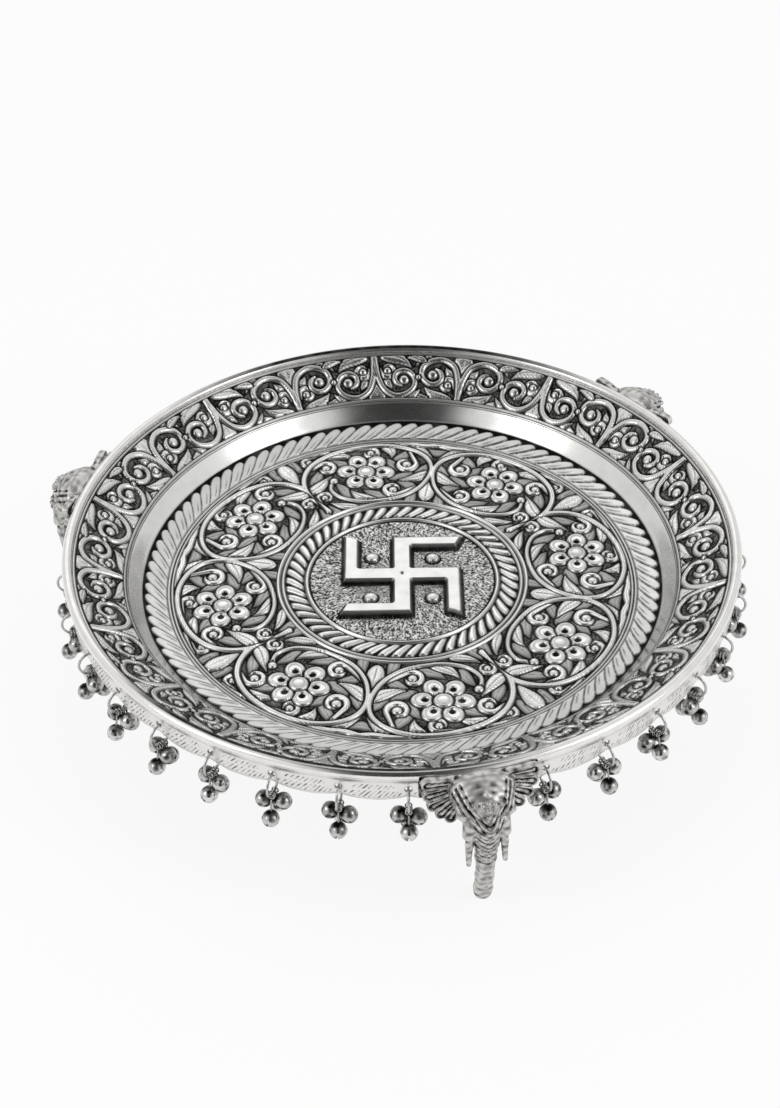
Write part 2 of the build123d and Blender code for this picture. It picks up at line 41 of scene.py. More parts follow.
# Sizes in millimetres, as in the solid model
FLOOR_Z = 39.7
LIP_R = 132.0
BEAD_R = 2.0
BEAD_C = LIP_R - BEAD_R
BEAD_Z = FLOOR_Z + 22.1
RIM_OUT = 128.0
RIM_IN = 108.4
BORDER_OUT = 102.4
FLOOR_R = 92.4
BORDER_RISE = 2.6
WALL_RISE = 10.1
RIM_RISE = 21.6
SHEET = 1.0
APRON_R = 130.6
PIVOT_R = 130.1
PIVOT_Z = FLOOR_Z + 13.1
LOBE_Z = PIVOT_Z - 2.9
NOTCH_Z = PIVOT_Z - 0.9
HOLE_Z = PIVOT_Z + 2.3
RING_R = 4.8
RING_WIRE = 0.5
BELL_R = 3.2
# Where one relief patch of the dish meets the next, and how far their backs lie under the sheet's face
MEDALLION_OUT = 50.2
BAND_OUT = 91.9
WALL_OUT = 107.6
RIM_END = 128.1
PATCH_BACK = 0.45
PATCH_BACK_ROWS = 12
PATCH_BACK_DARK = 0.3
# Radius through the middle of the rosettes, and half the angle that one of them has
FLOWER_R = 72.0
FLOWER_HALF = math.radians(22.5)
# Radius at which the vine of the rim keeps its drawn length, and the angle of half a repeat
VINE_R = 118.2
VINE_HALF = math.radians(18)
# Azimuths of the feet, and each apron strip's first azimuth and span, in degrees
FEET = (("front", 281.2), ("right", 402.0), ("left", 523.5))
STRIPS = (("right", 281.2, 120.8), ("back", 402.0, 121.5), ("left", 523.5, 117.7))
SLOTS = 11
MM = 0.001
FAR = 1e9


# Small helpers for curves and soft steps
def soft(a, b, x):
    t = np.clip((x - a) / (b - a), 0, 1)
    return t * t * (3 - 2 * t)


def spiral(cx, cy, r0, r1, a0, a1, n):
    a = np.radians(np.linspace(a0, a1, n))
    r = np.linspace(r0, r1, n)
    return np.stack([cx + r * np.cos(a), cy + r * np.sin(a)], 1)


def bezier(p0, p1, p2, p3, n=24):
    t = np.linspace(0, 1, n)[:, None]
    p0, p1, p2, p3 = (np.array(p, float) for p in (p0, p1, p2, p3))
    return (1 - t) ** 3 * p0 + 3 * t * (1 - t) ** 2 * p1 + 3 * t * t * (1 - t) * p2 + t**3 * p3


def through(pts, n=9):
    # Smooth line through the given points
    p = np.asarray(pts, float)
    p = np.vstack([2 * p[0] - p[1], p, 2 * p[-1] - p[-2]])
    t = np.linspace(0, 1, n, endpoint=False)[:, None]
    out = [
        b + 0.5 * t * (c - a + t * (2 * a - 5 * b + 4 * c - d + t * (3 * (b - c) + d - a)))
        for a, b, c, d in zip(p, p[1:], p[2:], p[3:])
    ]
    return np.vstack(out + [p[-2:-1]])


def leaf_form(n):
    # Width along a leaf from root to tip, as a share of its widest
    return np.sin(np.pi * np.linspace(0, 1, n) ** 0.75)


def inside_polygon_distance(x, y, pts):
    # Signed distance to a closed polygon, negative inside
    d = np.full(x.shape, FAR)
    inside = np.zeros(x.shape, bool)
    for (ax, ay), (bx, by) in zip(pts, pts[1:] + pts[:1]):
        ex, ey = bx - ax, by - ay
        t = np.clip(((x - ax) * ex + (y - ay) * ey) / (ex * ex + ey * ey), 0, 1)
        d = np.minimum(d, np.hypot(x - ax - ex * t, y - ay - ey * t))
        crosses = ((ay > y) != (by > y)) & (x < ex * (y - ay) / (ey if ey else 1e-9) + ax)
        inside ^= crosses
    return np.where(inside, -d, d)


class Relief:
    # Chased ornament laid down in layers on a patch: height in millimetres and darkness of the oxide, which
    # also carries the emblem's painted shade
    GRAIN_HEIGHT = 0.22
    BAND_MARGIN = 4.0
    EDGE_SHARE = 0.35
    EDGE_DARK = 0.28
    LINE_DEPTH = 0.05
    MOST_LEAVES = 70
    WIDEST_GAP = 2.4
    LEAF_REACH = 2.4
    PROBES = (-2.4, -1.6, -0.9, 0.9, 1.6, 2.4)

    def __init__(self, x, y, soften):
        self.x, self.y, self.soften = x, y, soften
        self.h = np.zeros(x.shape)
        self.dark = np.ones(x.shape)
        self.room = np.full(x.shape, FAR)

    def ground(self, pale):
        # Matted ground: each grain a raised or sunk prick of the punch
        prick = rng.uniform(0, 1, self.x.shape)
        prick = (prick + np.roll(prick, 1, 0) + np.roll(prick, 1, 1)) / 3
        lo, hi = np.quantile(prick, (0.1, 0.9))
        prick = np.clip((prick - lo) / (hi - lo), 0, 1)
        self.h = self.GRAIN_HEIGHT * prick
        self.dark = 1.0 - pale * prick

    def along(self, pts, widths):
        # Signed distance to a band along a line, with the place along it and the offset from its middle
        pts = np.asarray(pts, float)
        widths = np.broadcast_to(np.asarray(widths, float), (len(pts),))
        best = np.full(self.x.shape, FAR)
        share = np.zeros(self.x.shape)
        off = np.full(self.x.shape, FAR)
        reach = widths.max() / 2 + self.BAND_MARGIN
        lo, hi = pts.min(0) - reach, pts.max(0) + reach
        near = (self.x > lo[0]) & (self.x < hi[0]) & (self.y > lo[1]) & (self.y < hi[1])
        if not near.any():
            return best, share, off
        px, py = self.x[near], self.y[near]
        b, s, o = best[near], share[near], off[near]
        n = len(pts) - 1
        for i in range(n):
            e = pts[i + 1] - pts[i]
            qx, qy = px - pts[i, 0], py - pts[i, 1]
            t = np.clip((qx * e[0] + qy * e[1]) / max(e @ e, 1 / FAR), 0, 1)
            dx, dy = qx - e[0] * t, qy - e[1] * t
            d = np.hypot(dx, dy)
            v = d - (widths[i] + (widths[i + 1] - widths[i]) * t) / 2
            closer = v < b
            b = np.where(closer, v, b)
            s = np.where(closer, (i + t) / n, s)
            o = np.where(closer, d * np.sign(e[0] * dy - e[1] * dx), o)
        best[near], share[near], off[near] = b, s, o
        return best, share, off

    def lay(self, d, height, round_over=0.8, edge=0.8, tone=0.0):
        # A raised form over what lies there, with a dark line of the given width round it
        a = self.soften
        self.room = np.minimum(self.room, d)
        line = soft(edge + a, edge - a, d)
        full = soft(a, -a, d)
        t = np.clip(-d / round_over, 0, 1)
        swell = np.sqrt(np.clip(1 - (1 - t) ** 2, 0, 1))
        top = height * (self.EDGE_SHARE + (1 - self.EDGE_SHARE) * swell)
        self.h = self.h * (1 - line) - self.LINE_DEPTH * line
        self.dark = self.dark + (1 - self.dark) * line
        self.h = self.h * (1 - full) + top * full
        self.dark = self.dark * (1 - full) + (tone + self.EDGE_DARK * (1 - t)) * full

    def gaps(self, index, least):
        # Leaves that fit along the widest gaps left, the largest first
        found = []
        for turn in range(self.MOST_LEAVES):
            k = np.unravel_index(self.room.argmax(), self.room.shape)
            c = min(self.room[k], self.WIDEST_GAP)
            if c < least:
                break
            p = np.array([self.x[k], self.y[k]])
            best, way = -FAR, None
            for a in np.radians(np.arange(0, 180, 12)):
                e = np.array([math.cos(a), math.sin(a)])
                free = sum(min(self.room[index(*(p + g * c * e))], c) for g in self.PROBES)
                if free > best:
                    best, way = free, e
            bend = 0.45 * c * np.array([-way[1], way[0]]) * (1 if turn % 2 else -1)
            tip = self.LEAF_REACH * c * way
            pts = bezier(p - tip, p - tip / 3 + bend, p + tip / 3 + bend, p + tip)
            width = max(1.9 * c, 1.5)
            found.append((pts, width))
            self.room = np.minimum(self.room, self.along(pts, width * leaf_form(len(pts)))[0])
        return found

    def scratch(self, d, depth, dark):
        # A narrow chased line: d is the distance outside the line's half width
        w = soft(self.soften, -self.soften, d)
        self.h -= depth * w
        self.dark = np.maximum(self.dark, dark * w)

    def stem(self, pts, w0, w1, height=0.75):
        # A band with a chased line along its middle
        d, _, o = self.along(pts, np.linspace(w0, w1, len(pts)))
        self.lay(d, height)
        self.scratch(np.where(d < -0.3, np.abs(o) - 0.12, 1), 0.14, 0.6)

    def leaf(self, pts, width, height=0.8, veins=True, tone=0.0):
        # A pointed leaf with a middle line and slanted veins
        d, s, o = self.along(pts, width * np.maximum(leaf_form(len(pts)), 0.04))
        self.lay(d, height, round_over=0.3 * width, tone=tone)
        if veins:
            self.scratch(np.where(d < -0.25, np.abs(o) - 0.14, 1), 0.22, 0.9)
            length = np.hypot(*np.diff(pts, axis=0).T).sum()
            rib = np.abs(((s * length - np.abs(o) * 1.1) / 1.5) % 1 - 0.5) * 1.5
            self.scratch(np.where(d < -0.25, rib - 0.1, 1), 0.14, 0.62)

    def curl(self, cx, cy, r, start, way, w):
        # A comma that swells from a stem and winds round its ball: way 1 is anticlockwise, -1 clockwise
        dx, dy = start[0] - cx, start[1] - cy
        a0 = math.degrees(math.atan2(dy, dx) + way * math.acos(min(r / math.hypot(dx, dy), 1)))
        ring = spiral(cx, cy, r, 0.62 * r, a0, a0 + way * 290, 34)
        pts = np.vstack([np.linspace(start, ring[0], 8)[:-1], ring])
        share = np.linspace(0, 1, len(pts))
        swell = np.interp(share, [0, 0.3, 0.6, 0.85, 1], [0.35, 0.9, 1.15, 0.9, 0.4])
        d, s, o = self.along(pts, w * swell)
        self.lay(d, 0.85)
        on_top = (d < -0.35) & (s < 0.7)
        self.scratch(np.where(on_top, np.abs(o + way * 0.2 * w) - 0.1, 1), 0.12, 0.6)
        self.dot(cx, cy, 0.46 * r)

    def dot(self, cx, cy, r, height=0.9):
        d = np.hypot(self.x - cx, self.y - cy) - r
        self.lay(d, height, round_over=r)

    def punch(self, cx, cy, r):
        d = np.hypot(self.x - cx, self.y - cy) - r
        self.scratch(d, 0.5, 1.0)

    def rosette(self, cx, cy, petals, reach, size, turn):
        # Petals with a raised rim and a drop-shaped hole, round a ringed eye
        for k in range(petals):
            a = math.radians(turn + 360 * k / petals)
            c, s = math.cos(a), math.sin(a)
            out = (self.x - cx) * c + (self.y - cy) * s - reach
            side = -(self.x - cx) * s + (self.y - cy) * c
            d = np.hypot(out * np.where(out > 0, 0.86, 1.0), side) - size
            self.lay(d, 1.0, 0.55 * size, 0.7)
            self.h -= 0.3 * soft(-0.3 * size, -0.5 * size, d)
            self.scratch(np.abs(d + 0.36 * size) - 0.12, 0.12, 0.6)
            self.scratch(np.hypot(out + 0.2 * size, side * 1.1) - 0.36 * size, 0.5, 1.0)
        eye = np.hypot(self.x - cx, self.y - cy)
        self.dot(cx, cy, 0.95 * size, 1.3)
        self.scratch(np.abs(eye - 0.6 * size) - 0.13, 0.18, 0.7)


def crowded(make, x, y, soften, index, keep_off):
    # Lays an ornament down twice: once to find its gaps, then over leaves that fill them
    least_gap, least_veined = 1.9, 1.9
    fill_height, fill_dark, ground_pale = 0.5, 0.46, 0.2
    trial = Relief(x, y, soften)
    make(trial)
    trial.room = np.where(keep_off, 0, trial.room)
    leaves = trial.gaps(index, least_gap)
    f = Relief(x, y, soften)
    f.ground(ground_pale)
    for pts, width in leaves:
        f.leaf(pts, width, fill_height, width > least_veined, fill_dark)
    make(f)
    return f.h, f.dark


def nearest(place, count):
    # The line of a grid nearest to a place that is counted in its lines
    return min(max(int(round(place)), 0), count - 1)


def flower_unit(phi, r):
    # One eighth of the floor: a rosette inside a winding stem, mirrored from unit to unit
    rows, cols = r.shape
    c, s = math.cos(FLOWER_HALF), math.sin(FLOWER_HALF)
    outer_line = 91.2

    def index(px, py):
        i = (math.hypot(px, py + FLOWER_R) - r[0, 0]) / (r[-1, 0] - r[0, 0]) * (rows - 1)
        j = (math.atan2(px, py + FLOWER_R) - phi[0, 0]) / (phi[0, -1] - phi[0, 0]) * (cols - 1)
        return nearest(i, rows), nearest(j, cols)

    def edge(side, rad):
        # A point on the line to the next unit, at a radius of the dish
        return (side * rad * s, rad * c - FLOWER_R)

    def make(f):
        # Leaves on the lines between units and in the corners outside the stem
        f.leaf(bezier(edge(1, 52), edge(1, 56), edge(1, 60), edge(1, 66)), 6.6)
        f.leaf(bezier(edge(-1, 90.5), edge(-1, 87), edge(-1, 82), edge(-1, 75)), 6.6)
        f.leaf(bezier((-7.5, -22.2), (-11.5, -21.8), (-15.5, -20.4), (-18.4, -17.4)), 3.6)
        f.leaf(bezier((19.5, 13.6), (24.0, 13.0), (28.0, 9.0), edge(1, 77)), 5.0)
        f.curl(-22.2, 11.6, 3.0, (-14.0, 16.0), 1, 2.2)
        f.leaf(bezier((-12.0, 17.0), (-16.0, 17.6), (-20.0, 17.0), (-25.0, 14.6)), 2.6)
        f.stem(through([(7, 16.8), (14.5, 16.7), (22, 15.0), (29, 12.0), edge(1, 90)]), 1.8, 2.6)
        # Leaves and curls between the stem and the rosette
        f.leaf(bezier((-26.2, -8.5), (-22.6, -8.2), (-19.6, -4.2), (-14.6, 0.6)), 5.4)
        f.leaf(bezier((-15.5, 13.4), (-11.0, 14.6), (-7.0, 13.6), (-3.0, 10.6)), 4.6)
        f.leaf(bezier((10.0, 16.8), (13.2, 15.4), (14.8, 12.0), (12.6, 7.4)), 5.0)
        f.leaf(bezier((26.8, -5.6), (23.0, -8.2), (18.5, -9.6), (12.4, -8.4)), 5.2)
        f.leaf(bezier((1.5, -20.4), (-3.5, -18.4), (-7.5, -15.4), (-8.6, -10.8)), 4.6)
        f.curl(-20.2, -13.6, 2.9, (-21.2, -20.6), -1, 2.2)
        f.curl(-16.0, 6.2, 3.7, (-24.0, 5.4), -1, 2.7)
        f.curl(4.6, 12.6, 3.2, (-6.5, 16.4), -1, 2.5)
        f.curl(18.0, 1.4, 4.1, (21.0, 11.6), -1, 2.9)
        f.curl(8.6, -14.4, 3.7, (21.0, -13.6), -1, 2.7)
        path = [
            edge(-1, 53), (-25.2, -14), (-27.2, -6), (-26, 2.4), (-21.5, 9.5), (-13.5, 14.6), (-3.7, 17.0),
            (6, 17.2), (15, 15.2), (23, 10.2), (27.4, 3.5), (27.6, -3.5), (24.5, -10), (19, -15.8),
            (11.2, -19.6), (2, -20.4), (-6, -19.2), (-13.2, -15.3), (-16.6, -9.5), (-15.6, -4.4),
        ]
        f.stem(through(path), 2.3, 1.5, 0.85)
        f.dot(-14.4, -3.2, 1.7, 1.0)
        f.rosette(0, 0, 6, 7.7, 3.9, 45.0)
        # Plain line against the border
        f.lay(np.abs(r - outer_line) - 0.35, 0.6, edge=0.5)

    keep_off = (r < MEDALLION_OUT + 1.3) | (r > outer_line - 0.7)
    return crowded(make, r * np.sin(phi), r * np.cos(phi) - FLOWER_R, 0.16, index, keep_off)


def rim_unit(u, v, length, width):
    # Half a repeat of the rim's vine, mirrored from unit to unit: u along the rim, v out across it
    rows, cols = u.shape
    hem, inner_line, outer_line = 0.45, 1.5, width - 0.6

    def index(pu, pv):
        return nearest(pv / width * (rows - 1), rows), nearest(pu / length * cols, cols)

    def half(f, m):
        # One stem with its leaves and curl; the other is its half turn about the middle of the unit
        f.leaf(bezier(m((3.0, 2.4)), m((8.0, 1.6)), m((12.0, 3.0)), m((15.4, 7.2))), 5.0)
        f.leaf(bezier(m((21.4, 4.4)), m((19.6, 2.9)), m((17.0, 2.4)), m((13.6, 2.6))), 2.8)
        f.leaf(bezier(m((1.8, 12.6)), m((4.0, 13.2)), m((5.8, 14.4)), m((6.8, 17.0))), 3.2)
        f.leaf(bezier(m((11.0, 21.4)), m((14.5, 22.0)), m((17.5, 21.0)), m((19.6, 17.4))), 3.0)
        f.curl(*m((5.2, 8.7)), 3.0, m((0.5, 2.6)), -1, 2.5)
        path = [
            (0, 0.8), (0.3, 6), (1.2, 12), (3.6, 17.8), (8.4, 20.6), (13.2, 19.8), (16.6, 16.8), (17.0, 12.6),
            (14.6, 9.4), (11.0, 8.8), (8.4, 11.0), (8.8, 14.2), (11.0, 15.4),
        ]
        f.stem(through([m(q) for q in path]), 2.3, 1.8, 0.9)
        f.dot(*m((12.4, 13.2)), 1.9, 1.05)

    def make(f):
        upright = (0.8, 3, 6, 10.0)
        f.leaf(bezier(*[(length, q) for q in upright]), 7.4)
        f.leaf(bezier(*[(0, width - q) for q in upright]), 7.4)
        half(f, lambda q: q)
        half(f, lambda q: (length - q[0], width - q[1]))
        f.dot(length / 2, width / 2, 1.0)
        f.lay(np.abs(v - hem) - 0.3, 0.5, edge=0.35)
        f.lay(np.abs(v - inner_line) - 0.35, 0.6, edge=0.4)
        f.lay(np.abs(v - outer_line) - 0.5, 0.6)

    return crowded(make, u, v, 0.18, index, (v < inner_line + 0.3) | (v > outer_line - 0.6))


def medallion(x, y, r, th):
    f = Relief(x, y, 0.15)
    f.ground(0.9)
    f.dark = 0.1 + 0.85 * soft(0.25, 0.8, f.dark)
    # Rope of slanted leaves between two rings
    strands, mid, inner, outer = 54, 42.8, 38.6, 46.6
    pitch = 2 * np.pi * mid / strands
    slant = (r - mid) / 10.2 * 1.7 + 0.2 * np.sin((r - inner) / (outer - inner) * np.pi)
    p = (th * strands / (2 * np.pi) + slant) % 1
    across = np.abs(p - 0.5) * pitch
    q = np.clip((r - inner) / (outer - inner), 0, 1)
    half = 0.5 * pitch * (0.28 + 0.46 * np.sin(np.pi * (0.1 + 0.8 * q)) ** 0.8)
    rope = (r > inner - 1.0) & (r < outer + 1.8)
    ends = np.maximum(inner + 0.1 - r, r - outer + 0.1)
    d = np.where(rope, np.maximum(0.76 * (across - half), ends), FAR)
    f.dark = np.where(rope, 1.0, f.dark)
    f.h = np.where(rope, 0, f.h)
    f.lay(d, 0.9, 1.1, 0.25)
    f.scratch(np.where(d < -0.3, np.abs((p - 0.62) * pitch) - 0.12, 1), 0.12, 0.6)
    for ring, half_width, height in ((37.9, 0.75, 0.95), (47.4, 0.55, 0.8), (49.3, 0.75, 0.95)):
        f.lay(np.abs(r - ring) - half_width, height)
    # The raised emblem with bevelled arms, and a boss in each quarter
    reach, w, hook, point, centre_y = 24.0, 4.4, 7.4, 1.6, 1.0
    arm = [(-w, reach), (reach + point, reach), (reach - point, reach - hook), (w, reach - hook), (w, w)]
    pts = []
    for _ in range(4):
        pts += arm
        arm = [(b, -a) for a, b in arm]
    d = inside_polygon_distance(x, y - centre_y, pts)
    bevel_slope, bevel_width, emblem_height, face_dark = 1.6, 1.45, 2.3, 0.12
    f.lay(d, 0.3, 0.3, 0.5, face_dark)
    f.h += np.clip(-d * bevel_slope, 0, emblem_height)
    # The bevels are painted dark all over as painted shade, and darker still towards their base, where oxide
    # collects
    bevel_shade_and_oxide = 0.68 + 0.3 * soft(-1.3, -0.4, d)
    f.dark = np.where(d < 0, np.where(d > -bevel_width, bevel_shade_and_oxide, face_dark), f.dark)
    f.punch(0, centre_y, 0.6)
    for cx, cy in ((-12.0, 13.0), (12.4, 12.4), (-12.4, -11.4), (12.0, -12.0)):
        f.dot(cx, cy, 2.7, 1.8)
    return f.h, f.dark


def leaf_border(r, th):
    # Flat laurel leaves: each bends from along the inner ring to a round end with a dark crescent
    f = Relief(r, th, 0.2)
    leaves, slant, bend, mid = 94, 3.0, 1.15, 97.5
    w = (r - FLOOR_R) / (BORDER_OUT - FLOOR_R)
    p = (th * leaves / (2 * np.pi) + slant * w - bend * w * w) % 1
    cell = 2 * np.pi * mid / leaves
    wide = cell / np.hypot(1, cell * (slant - 2 * bend * w) / (BORDER_OUT - FLOOR_R))
    outer = BORDER_OUT - 0.7 - 2.2 * (2 * np.abs(p - 0.46)) ** 2.4
    d = r - outer
    f.lay(d, 0.5, 0.9, 0.65, 0.2)
    f.h += np.where(d < 0, 0.35 * (0.5 - p), 0)
    for at, low, high, half in ((0.0, 0.02, 1.05, 0.26), (0.4, 0.16, 0.6, 0.17)):
        taper = np.sin(np.pi * np.clip((w - low) / (high - low), 0, 1) ** 0.7)
        near = np.abs((p - at + 0.5) % 1 - 0.5) * wide
        f.scratch(np.where((d < 0.3) & (taper > 0.05), near - half * taper, 1), 0.3, 0.95)
    f.lay(np.abs(r - FLOOR_R - 0.1) - 0.4, 0.55, edge=0.4)
    beyond = soft(BORDER_OUT + 0.2, BORDER_OUT + 0.6, r)
    f.h = f.h * (1 - beyond) + 0.1 * beyond
    f.dark = f.dark * (1 - beyond) + 0.03 * beyond
    return f.h, f.dark


# The sheet's smooth section, rounded at its bends
SECTION_STEP = 0.1
BEND = 0.9
BEND_REACH = 30
section_r = np.arange(0, LIP_R - 1.0, SECTION_STEP)
section_z = np.interp(
    section_r, [0, FLOOR_R, BORDER_OUT, RIM_IN, RIM_OUT], [0, 0, BORDER_RISE, WALL_RISE, RIM_RISE]
)
spread = np.exp(-0.5 * (np.arange(-BEND_REACH, BEND_REACH + 1) * SECTION_STEP / BEND) ** 2)
section_z = np.convolve(np.pad(section_z, BEND_REACH, mode="edge"), spread / spread.sum(), "valid") + FLOOR_Z


def sheet_z(r):
    return np.interp(r, section_r, section_z)


# Meshes
def new_object(name, verts, faces, body, nodes, material, dark, normals=None):
    # A mesh in millimetres with the darkness of its oxide and of any painted shade, riding on a body in place
    # of CAD nodes
    me = bpy.data.meshes.new(name)
    me.from_pydata((np.asarray(verts) * MM).tolist(), [], faces)
    me.attributes.new("dark", "FLOAT", "POINT").data.foreach_set("value", np.asarray(dark, np.float32))
    me.polygons.foreach_set("use_smooth", [True] * len(me.polygons))
    me.validate()
    me.update()
    if normals is not None:
        me.normals_split_custom_set_from_vertices(normals)
    ob = bpy.data.objects.new(name, me)
    bpy.context.collection.objects.link(ob)
    me.materials.append(material)
    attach(ob, body)
    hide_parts(*nodes)


def grid_faces(rows, cols, wrap, start=0):
    # Quads of a grid of points, closed round its columns where wrap is set
    i, j = np.meshgrid(np.arange(rows - 1), np.arange(cols if wrap else cols - 1), indexing="ij")
    a = i * cols + j
    b = i * cols + (j + 1) % cols
    return (np.stack([a, a + cols, b + cols, b], -1).reshape(-1, 4) + start).tolist()


def closed_patch(name, th, r, z, dark, wrap):
    # A relief patch, rows outwards and columns round, closed by a smooth back and its edges
    rows, cols = z.shape
    R, T = np.meshgrid(r, th, indexing="ij")
    top = np.stack([R * np.cos(T), R * np.sin(T), z], -1)
    du = np.roll(top, -1, 1) - np.roll(top, 1, 1)
    if not wrap:
        du[:, 0], du[:, -1] = top[:, 1] - top[:, 0], top[:, -1] - top[:, -2]
    dv = np.gradient(top, axis=0)
    nrm = np.cross(dv, du)
    nrm /= np.linalg.norm(nrm, axis=-1, keepdims=True)
    nrm[nrm[..., 2] < 0] *= -1
    RB, TB = np.meshgrid(np.linspace(r[0], r[-1], PATCH_BACK_ROWS), th, indexing="ij")
    low = np.stack([RB * np.cos(TB), RB * np.sin(TB), sheet_z(RB) - PATCH_BACK], -1).reshape(-1, 3)
    verts = np.concatenate([top.reshape(-1, 3), low])
    faces = grid_faces(rows, cols, wrap)
    n0 = rows * cols
    faces += [f[::-1] for f in grid_faces(PATCH_BACK_ROWS, cols, wrap, n0)]
    a, b = (rows - 1) * cols, n0 + (PATCH_BACK_ROWS - 1) * cols
    for j in range(cols if wrap else cols - 1):
        k = (j + 1) % cols
        faces.append((j, k, n0 + k, n0 + j))
        faces.append((a + k, a + j, b + j, b + k))
    if not wrap:
        for j, flip in ((0, False), (cols - 1, True)):
            loop = [i * cols + j for i in range(rows)]
            loop += [n0 + i * cols + j for i in range(PATCH_BACK_ROWS - 1, -1, -1)]
            faces.append(tuple(loop[::-1] if flip else loop))
    dk = np.append(dark.reshape(-1), np.full(len(low), PATCH_BACK_DARK))
    normals = np.concatenate([nrm.reshape(-1, 3), np.tile((0.0, 0.0, -1.0), (len(low), 1))])
    new_object(name, verts, faces, "thali", ["thali_dish"], dish_metal, dk, normals)


def half_ring(name, th, r, h, dark, repeats):
    # Half a ring of a repeated pattern, closed by the first column of the next repeat
    order = np.argsort(th)
    h, dark = (np.hstack([np.tile(q, repeats), q[:, :1]])[:, order] for q in (h, dark))
    closed_patch(name, th[order], r, sheet_z(r)[:, None] + h, dark, False)


def mirrored(*patterns):
    return [np.hstack([q, q[:, ::-1]]) for q in patterns]


def turned(name, section, cols, material, dark):
    # A closed section of the dish turned about its axis
    section = np.asarray(section, float)
    th = np.linspace(0, 2 * np.pi, cols, endpoint=False)
    verts = np.concatenate(
        [np.stack([p[0] * np.cos(th), p[0] * np.sin(th), np.full(cols, p[1])], 1) for p in section]
    )
    rows = len(section)
    faces = grid_faces(rows, cols, True)
    for j in range(cols):
        k = (j + 1) % cols
        faces.append((j, k, (rows - 1) * cols + k, (rows - 1) * cols + j))
    dk = np.broadcast_to(dark, (rows, cols)).reshape(-1)
    new_object(name, verts, faces, "thali", ["thali_dish"], material, dk)


# Materials
def ramp(nt, value, low, high, to_low, to_high):
    # A soft step between two values
    node = nt.nodes.new("ShaderNodeMapRange")
    node.interpolation_type = "SMOOTHSTEP"
    for key, v in (("From Min", low), ("From Max", high), ("To Min", to_low), ("To Max", to_high)):
        node.inputs[key].default_value = v
    nt.links.new(value, node.inputs["Value"])
    return node.outputs["Result"]


def joined(nt, operation, *values):
    node = nt.nodes.new("ShaderNodeMath")
    node.operation = operation
    for k, v in enumerate(values):
        nt.links.new(v, node.inputs[k])
    return node.outputs[0]


def metal(name, bright, rough, rough_dark, scale=1.0, darkening=0.0):
    # Oxidised metal: the mesh's darkness, oxide and some painted shade, with a mottle over it mixes bright
    # metal and black oxide
    mottle, grains_per_metre = 0.28, 160.0
    m = bpy.data.materials.new(name)
    m.use_nodes = True
    nt = m.node_tree
    b = nt.nodes["Principled BSDF"]
    b.inputs["Metallic"].default_value = 1.0
    at = nt.nodes.new("ShaderNodeAttribute")
    at.attribute_name = "dark"
    noise = nt.nodes.new("ShaderNodeTexNoise")
    noise.inputs["Scale"].default_value = grains_per_metre * scale
    noise.inputs["Detail"].default_value = 4.0
    geo = nt.nodes.new("ShaderNodeNewGeometry")
    nt.links.new(geo.outputs["Position"], noise.inputs["Vector"])
    mix = nt.nodes.new("ShaderNodeMix")
    mix.data_type = "RGBA"
    mix.inputs["A"].default_value = (*bright, 1)
    mix.inputs["B"].default_value = (*BLACK, 1)
    add = nt.nodes.new("ShaderNodeMath")
    add.operation = "MULTIPLY_ADD"
    add.inputs[1].default_value = mottle
    add.inputs[2].default_value = darkening - mottle / 2
    nt.links.new(noise.outputs["Fac"], add.inputs[0])
    total = nt.nodes.new("ShaderNodeMath")
    total.operation = "ADD"
    total.use_clamp = True
    nt.links.new(at.outputs["Fac"], total.inputs[0])
    nt.links.new(add.outputs[0], total.inputs[1])
    nt.links.new(total.outputs[0], mix.inputs["Factor"])
    nt.links.new(mix.outputs["Result"], b.inputs["Base Color"])
    ro = nt.nodes.new("ShaderNodeMapRange")
    ro.inputs["To Min"].default_value = rough
    ro.inputs["To Max"].default_value = rough_dark
    nt.links.new(total.outputs[0], ro.inputs["Value"])
    nt.links.new(ro.outputs["Result"], b.inputs["Roughness"])
    return m


BLACK = (0.009, 0.0088, 0.0085)
dish_metal = metal("dish_silver", (0.78, 0.775, 0.76), 0.17, 0.6)
lip_metal = metal("lip_silver", (0.84, 0.83, 0.81), 0.2, 0.5)
apron_metal = metal("apron_silver", (0.80, 0.79, 0.77), 0.3, 0.6)
cast_metal = metal("cast_silver", (0.66, 0.65, 0.63), 0.38, 0.62, scale=3.0, darkening=0.06)
bell_metal = metal("bell_silver", (0.74, 0.735, 0.72), 0.14, 0.45, scale=2.2, darkening=0.06)

# Dish: medallion
rows = np.linspace(0.25, MEDALLION_OUT, 122)
th = np.linspace(0, 2 * np.pi, 720, endpoint=False)
R, T = np.meshgrid(rows, th, indexing="ij")
h, dk = medallion(R * np.cos(T), R * np.sin(T), R, T)
closed_patch("dish_medallion", th, rows, sheet_z(R) + h, dk, True)

# Dish: flower band, one unit worked out and set round mirrored
FLOWER_START = 11.8
rows = np.linspace(MEDALLION_OUT, BAND_OUT, 122)
per = 180
step = 2 * FLOWER_HALF / per
phi = (np.arange(per) + 0.5) * step - FLOWER_HALF
R, P = np.meshgrid(rows, phi, indexing="ij")
pattern = mirrored(*flower_unit(P, R))
for half in range(2):
    th = math.radians(FLOWER_START - 180 * half) + FLOWER_HALF - (np.arange(4 * per + 1) + 0.5) * step
    half_ring(f"dish_flower_band_{half}", th, rows, *pattern, 2)

# Dish: leaf border and polished wall
WALL_IN = BORDER_OUT + 0.8
rows = np.concatenate([np.linspace(BAND_OUT, WALL_IN, 34), np.linspace(WALL_IN + 0.4, WALL_OUT, 16)])
th = np.linspace(0, 2 * np.pi, 1440, endpoint=False)
R, T = np.meshgrid(rows, th, indexing="ij")
h, dk = leaf_border(R, T)
closed_patch("dish_border", th, rows, sheet_z(R) + h, dk, True)

